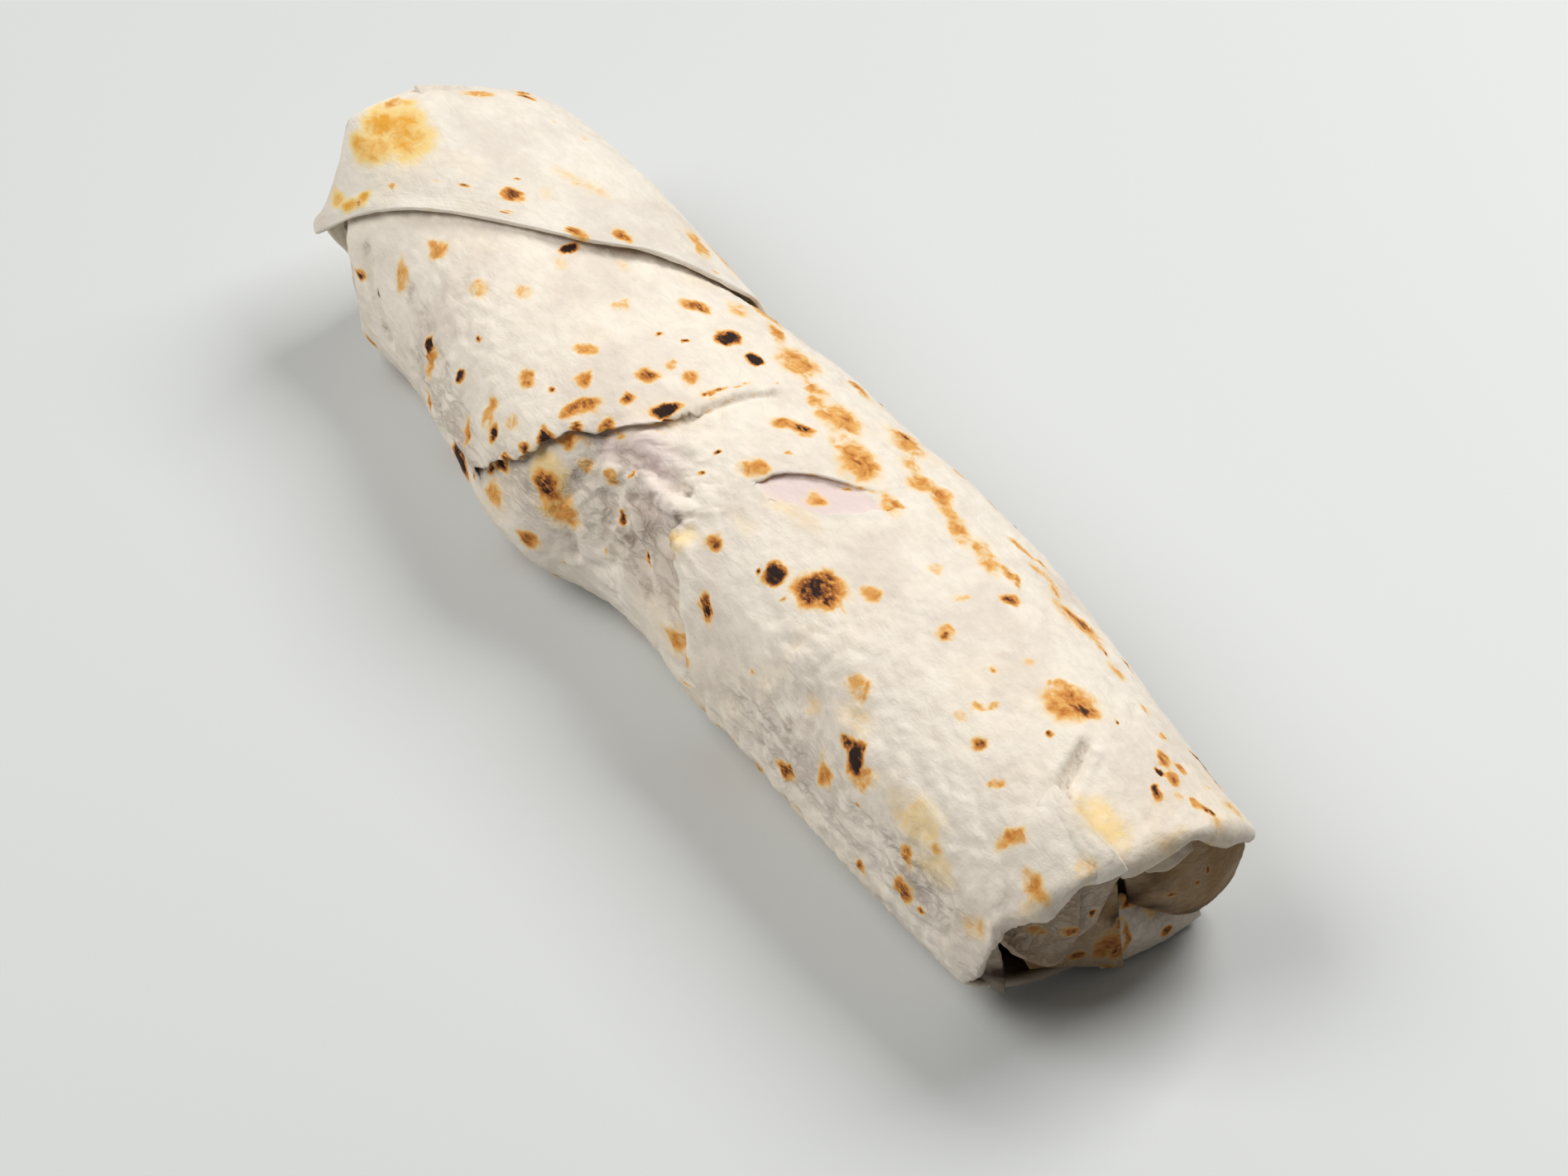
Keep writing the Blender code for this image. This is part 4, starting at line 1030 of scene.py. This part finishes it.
class Nodes:
    """Adds shader nodes and links them in one call each."""

    def __init__(self, material):
        self.tree = material.node_tree

    def add(self, kind, settings=None, **inputs):
        node = self.tree.nodes.new(kind)
        for name, value in (settings or {}).items():
            setattr(node, name, value)
        for name, value in inputs.items():
            self.put(node, name, value)
        return node

    def put(self, node, name, value):
        key = int(name[1:]) if name.startswith("_") and name[1:].isdigit() else name.replace("_", " ")
        if isinstance(value, bpy.types.NodeSocket):
            self.tree.links.new(value, node.inputs[key])
        else:
            node.inputs[key].default_value = value

    def noise(self, where, scale, detail=4.0, roughness=0.55, distortion=0.0):
        node = self.add("ShaderNodeTexNoise", Vector=where, Scale=scale, Detail=detail,
                        Roughness=roughness, Distortion=distortion)
        return node.outputs["Fac"]

    def math(self, operation, first, second=0.0, clamp=False):
        node = self.add("ShaderNodeMath", {"operation": operation, "use_clamp": clamp}, _0=first, _1=second)
        return node.outputs["Value"]

    def rise(self, value, low, high, top=1.0):
        node = self.add("ShaderNodeMapRange", {"interpolation_type": "SMOOTHSTEP"}, _0=value, _1=low,
                        _2=high, _3=0.0, _4=top)
        return node.outputs["Result"]

    def mix(self, share, first, second):
        node = self.add("ShaderNodeMix", {"data_type": "RGBA"}, _0=share, _6=first, _7=second)
        return node.outputs[2]

    def stored(self, name):
        return self.add("ShaderNodeAttribute", {"attribute_name": name}).outputs["Fac"]

    def ramp(self, value, stops):
        node = self.add("ShaderNodeValToRGB", None, Fac=value)
        elements = node.color_ramp.elements
        while len(elements) < len(stops):
            elements.new(0.5)
        for element, (place, colour) in zip(elements, stops):
            element.position = place
            element.color = colour
        return node.outputs["Color"]


CREAM = linear(243, 234, 220)
GREY_CREAM = linear(221, 209, 196)
WARM_CREAM = linear(243, 228, 204)
MOTTLE = linear(212, 199, 184)
# painted shade: grey, darker, and along the fine creases
PAINTED_GREY_SHADE, PAINTED_DARK_SHADE, PAINTED_CREASE_SHADE = linear(178, 162, 152), linear(124, 106, 94), linear(142, 125, 112)
LILAC = linear(230, 208, 207)
# sauce with painted shade, painted shade for the hollows, and crust that is soaked and in painted shade
SAUCE_AND_SHADE, PAINTED_HOLLOW_SHADE, SOAKED_SHADED_CRUST = linear(137, 108, 72), linear(54, 34, 20), linear(98, 56, 26)
PALE_GOLD, DEEP_GOLD = linear(248, 213, 130), linear(232, 163, 52)
BROWNING = ((0.0, linear(243, 226, 194)), (0.18, linear(243, 213, 158)), (0.34, linear(232, 177, 102)),
            (0.5, linear(206, 134, 62)), (0.63, linear(150, 90, 45)), (0.76, linear(88, 54, 36)),
            (0.9, linear(48, 32, 27)))
HEAT_RANGE = 1.35      # the heat at which that run of colours ends
print("cream as light:", [round(part, 2) for part in CREAM[:3]])

# %% [markdown]
# ## Plain crumb, painted shade and creases
# Unbrowned bread isn't one colour. Three noises of different sizes cloud it with grey, warm it and
# mottle it. Where the stored shade is high, shade is painted on, grey and then darker, and a stretched
# noise, folded about its middle value, paints thin dark slanting lines of shade there, like the creases
# of bread that was pinched while it was soft.

# %% Colour before toasting
def plain_crumb(nodes, where):
    """Cream with grey and warm clouds and a fine mottle; the grey clouds are used again later."""
    clouds = nodes.rise(nodes.noise(where, 55.0, 3.0), 0.42, 0.68, 0.6)
    base = nodes.mix(clouds, CREAM, GREY_CREAM)
    warmth = nodes.rise(nodes.noise(where, 38.0, 2.0, distortion=0.6), 0.52, 0.72, 0.55)
    base = nodes.mix(warmth, base, WARM_CREAM)
    mottle = nodes.rise(nodes.noise(where, 170.0, 4.0, 0.6), 0.45, 0.7, 0.22)
    return nodes.mix(mottle, base, MOTTLE), clouds


def slanting_place(nodes, where):
    """The place on the bread, stretched and turned, so that noise on it runs in slanting streaks."""
    mapping = nodes.add("ShaderNodeMapping", None, Vector=where, Rotation=(0.0, 0.0, 0.5),
                        Scale=(0.42, 1.0, 1.0))
    return mapping.outputs["Vector"]


def shade_pinch_and_stain(nodes, where, slanting, base):
    """Painted shade where the stored shade is high, darker along fine creases, and the filling's lilac
    stain.
    """
    shade = nodes.stored("shade")
    patches = nodes.rise(nodes.noise(where, 120.0, 4.0, 0.6), 0.3, 0.62, 0.62)
    # painted shade, grey where shade is stored and darker where it is highest
    base = nodes.mix(nodes.math("MULTIPLY", shade, patches), base, PAINTED_GREY_SHADE)
    base = nodes.mix(nodes.rise(shade, 0.55, 1.3, 0.62), base, PAINTED_DARK_SHADE)
    streaks = nodes.math("SUBTRACT", nodes.noise(slanting, 330.0, 3.0, 0.55, 0.4), 0.5)
    pucker_shade = nodes.rise(nodes.math("ABSOLUTE", streaks), 0.0, 0.11)
    pucker_shade = nodes.math("SUBTRACT", 1.0, pucker_shade)
    strength = nodes.math("ADD", nodes.math("MULTIPLY", shade, 0.9), 0.1)
    pucker_shade = nodes.math("MULTIPLY", pucker_shade, strength)
    # painted shade along the fine creases
    base = nodes.mix(nodes.math("MULTIPLY", pucker_shade, 0.62), base, PAINTED_CREASE_SHADE)
    return nodes.mix(nodes.math("MULTIPLY", nodes.stored("stain"), 0.7), base, LILAC), pucker_shade


def soaked_and_deep(nodes, clouds, base):
    """Brown where sauce has soaked in, with painted shade on the inner leaves, and painted shade, nearly
    black, in the gaps and hollows.
    """
    drawn = nodes.math("ADD", 0.8, nodes.math("MULTIPLY", clouds, 0.4))
    soaked = nodes.math("MULTIPLY", nodes.stored("soaked"), drawn)
    base = nodes.mix(soaked, base, SAUCE_AND_SHADE)
    # painted shade, nearly black, in the gaps and hollows
    deep = nodes.math("MULTIPLY", nodes.stored("deep"), nodes.math("ADD", 0.5, clouds), clamp=True)
    return nodes.mix(deep, base, PAINTED_HOLLOW_SHADE), soaked


print("crumb colours ready")

# %% [markdown]
# ## Gold, brown and black
# The stored heat is smooth, so noise is added to it before it picks a colour: soft blotches on the
# pale parts and sharp flecks on the charred ones. Smears of gold lie under the browning.

# %% Colour and height of the toasted marks
def roughened_heat(nodes, slanting, blotchy):
    """The stored heat, broken up by soft blotches where it is low and crisp flecks where it is high."""
    ragged = nodes.math("SUBTRACT", nodes.noise(slanting, 1000.0, 4.0, 0.6, 0.5), 0.5)
    heat = nodes.stored("browning")
    soft_part = nodes.math("MULTIPLY", nodes.math("MULTIPLY", blotchy, 0.9), nodes.rise(heat, 0.02, 0.5))
    crisp_part = nodes.math("MULTIPLY", nodes.math("MULTIPLY", ragged, 2.4), nodes.rise(heat, 0.52, 0.95))
    return nodes.math("ADD", nodes.math("ADD", heat, soft_part), crisp_part)


def toasted_marks(nodes, blotchy, heat, soaked, base):
    """Smears of gold, then the marks from pale gold to black."""
    cloudy = nodes.math("ADD", 0.9, nodes.math("MULTIPLY", blotchy, 1.4))
    gold = nodes.math("MULTIPLY", nodes.stored("gold"), cloudy)
    base = nodes.mix(nodes.rise(gold, 0.0, 0.4, 0.85), base, PALE_GOLD)
    base = nodes.mix(nodes.rise(gold, 0.3, 0.85, 0.95), base, DEEP_GOLD)
    crust = nodes.ramp(nodes.math("DIVIDE", heat, HEAT_RANGE), BROWNING)
    # the crust darkens where sauce tint and painted shade are stored
    crust = nodes.mix(nodes.math("MULTIPLY", soaked, 0.7), crust, SOAKED_SHADED_CRUST)
    return nodes.mix(nodes.rise(heat, 0.03, 0.5), base, crust)


def floury_bump(nodes, where, pucker_shade, heat):
    """A floury grain with pores, sunk along the creases and where the bread has charred."""
    grain = nodes.noise(where, 900.0, 4.0, 0.6)
    pores = nodes.noise(where, 260.0, 5.0, 0.6)
    height = nodes.math("ADD", nodes.math("MULTIPLY", grain, 0.4), pores)
    height = nodes.math("SUBTRACT", height, nodes.math("MULTIPLY", pucker_shade, 1.1))
    height = nodes.math("SUBTRACT", height, nodes.math("MULTIPLY", nodes.rise(heat, 0.55, 0.9), 0.5))
    bump = nodes.add("ShaderNodeBump", None, Strength=0.45, Distance=0.0008, Height=height)
    return bump.outputs["Normal"]


print("browning runs through", len(BROWNING), "colours")

# %% [markdown]
# ## One finish for every piece
# All the leaves are the same bread, so they share one material, and the values stored on each piece
# make it differ from place to place. The gloss is low. A little light passes under the surface,
# which softens the edges of thin bread.

# %% The bread's material
SURFACE = {"Roughness": 0.68, "Specular IOR Level": 0.15, "Subsurface Weight": 0.12,
           "Subsurface Radius": (1.0, 0.7, 0.45), "Subsurface Scale": 0.003}


def bread_finish():
    """Cream bread with browned marks, a floury grain and a little light passing through."""
    material = bpy.data.materials.new("toasted_flatbread")
    material.use_nodes = True
    nodes = Nodes(material)
    shader = material.node_tree.nodes["Principled BSDF"]
    where = nodes.add("ShaderNodeTexCoord").outputs["Object"]
    slanting = slanting_place(nodes, where)
    blotchy = nodes.math("SUBTRACT", nodes.noise(where, 360.0, 3.0, 0.55, 0.8), 0.5)
    heat = roughened_heat(nodes, slanting, blotchy)

    base, clouds = plain_crumb(nodes, where)
    base, pucker_shade = shade_pinch_and_stain(nodes, where, slanting, base)
    base, soaked = soaked_and_deep(nodes, clouds, base)
    base = toasted_marks(nodes, blotchy, heat, soaked, base)
    nodes.put(shader, "Base_Color", base)
    nodes.put(shader, "Normal", floury_bump(nodes, where, pucker_shade, heat))
    for name, value in SURFACE.items():
        shader.inputs[name].default_value = value
    return material


finish = bread_finish()
for thing in bread:
    thing.data.materials.append(finish)
print("finish:", finish.name, "with", len(finish.node_tree.nodes), "nodes")

# %% [markdown]
# ## Rounding the leaves and attaching them
# A leaf's rim is rounded by one level of subdivision. Each piece is then attached to the body it
# moves with, and the solid that the bread stands for is hidden.

# %% Round the leaves and attach every piece
for thing in bread[1:]:
    rounding = thing.modifiers.new("round rim", "SUBSURF")
    rounding.levels = rounding.render_levels = 1
for thing in bread:
    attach(thing, "root")
    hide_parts(NODE)
print("pieces:", [thing.name for thing in bread])

# %% [markdown]
# ## Floor
# The wrap lies on a plain pale floor, which is no part of the model.

# %% Floor
floor_mesh = bmesh.new()
FLOOR_REACH = 3.0
bmesh.ops.create_grid(floor_mesh, x_segments=1, y_segments=1, size=FLOOR_REACH)
floor = finish_mesh("floor", floor_mesh)
pale = bpy.data.materials.new("pale_floor")
pale.use_nodes = True
pale.node_tree.nodes["Principled BSDF"].inputs["Base Color"].default_value = linear(214, 217, 217)
pale.node_tree.nodes["Principled BSDF"].inputs["Roughness"].default_value = 0.5
floor.data.materials.append(pale)
print("floor laid, reaching", FLOOR_REACH, "m each way")

# %% [markdown]
# ## Light
# One large soft light stands behind the wrap on the right. A larger one stands on the left, further
# off and a little weaker where it lands, and a dim pale room fills the rest, as in a light tent, so
# that the folds read without hard shadows.

# %% Lights
def soft_light(name, place, size, power, colour):
    """A square light at a place, turned towards the wrap."""
    lamp = bpy.data.lights.new(name, "AREA")
    lamp.energy, lamp.size, lamp.color = power, size, colour
    thing = bpy.data.objects.new(name, lamp)
    thing.location = place
    thing.rotation_euler = (-Vector(place)).to_track_quat("-Z", "Y").to_euler()
    bpy.context.scene.collection.objects.link(thing)


soft_light("key", place=(-0.08, 0.78, 0.95), size=0.7, power=11.5, colour=(1.0, 0.99, 0.975))
soft_light("fill", place=(-0.5, -0.85, 1.2), size=1.0, power=14.5, colour=(1.0, 0.985, 0.96))
ROOM_BRIGHTNESS = 0.2
world = bpy.data.worlds.new("soft_room")
bpy.context.scene.world = world
world.use_nodes = True
world.node_tree.nodes["Background"].inputs["Color"].default_value = linear(222, 220, 216)
world.node_tree.nodes["Background"].inputs["Strength"].default_value = ROOM_BRIGHTNESS
bpy.context.scene.view_settings.view_transform = "Standard"
print("two soft lights and a pale room")

# %% [markdown]
# ## Camera
# The camera looks down the roll from its near end, through a long lens from about a metre away. Its
# place follows from a target, two angles and a distance, which are easier to adjust than a matrix.

# %% Camera
AZIMUTH, ELEVATION = math.radians(55.4), math.radians(46.0)
TARGET = Vector((14.72, -6.38, 25.0)) * MM + Vector(FRAME_SHIFT) * MM
DISTANCE, NUDGE_RIGHT, NUDGE_DOWN = 1.12, 0.0005, 0.0021      # metres
LENS, SENSOR, NEAREST = 123.5, 36.0, 0.01                     # mm, mm and metres
backwards = Vector((math.sin(AZIMUTH) * math.cos(ELEVATION), -math.cos(AZIMUTH) * math.cos(ELEVATION),
                    math.sin(ELEVATION)))
rightwards = (-backwards).cross(Vector((0, 0, 1))).normalized()
upwards = rightwards.cross(-backwards)
lens = bpy.data.cameras.new("camera")
lens.lens, lens.sensor_width, lens.clip_start = LENS, SENSOR, NEAREST
camera = bpy.data.objects.new("camera", lens)
turned = Matrix((rightwards, upwards, backwards)).transposed().to_4x4()
stand = TARGET + backwards * DISTANCE + rightwards * NUDGE_RIGHT - upwards * NUDGE_DOWN
camera.matrix_world = Matrix.Translation(stand) @ turned
bpy.context.scene.collection.objects.link(camera)
bpy.context.scene.camera = camera
print("camera at", [round(part, 3) for part in camera.matrix_world.translation])
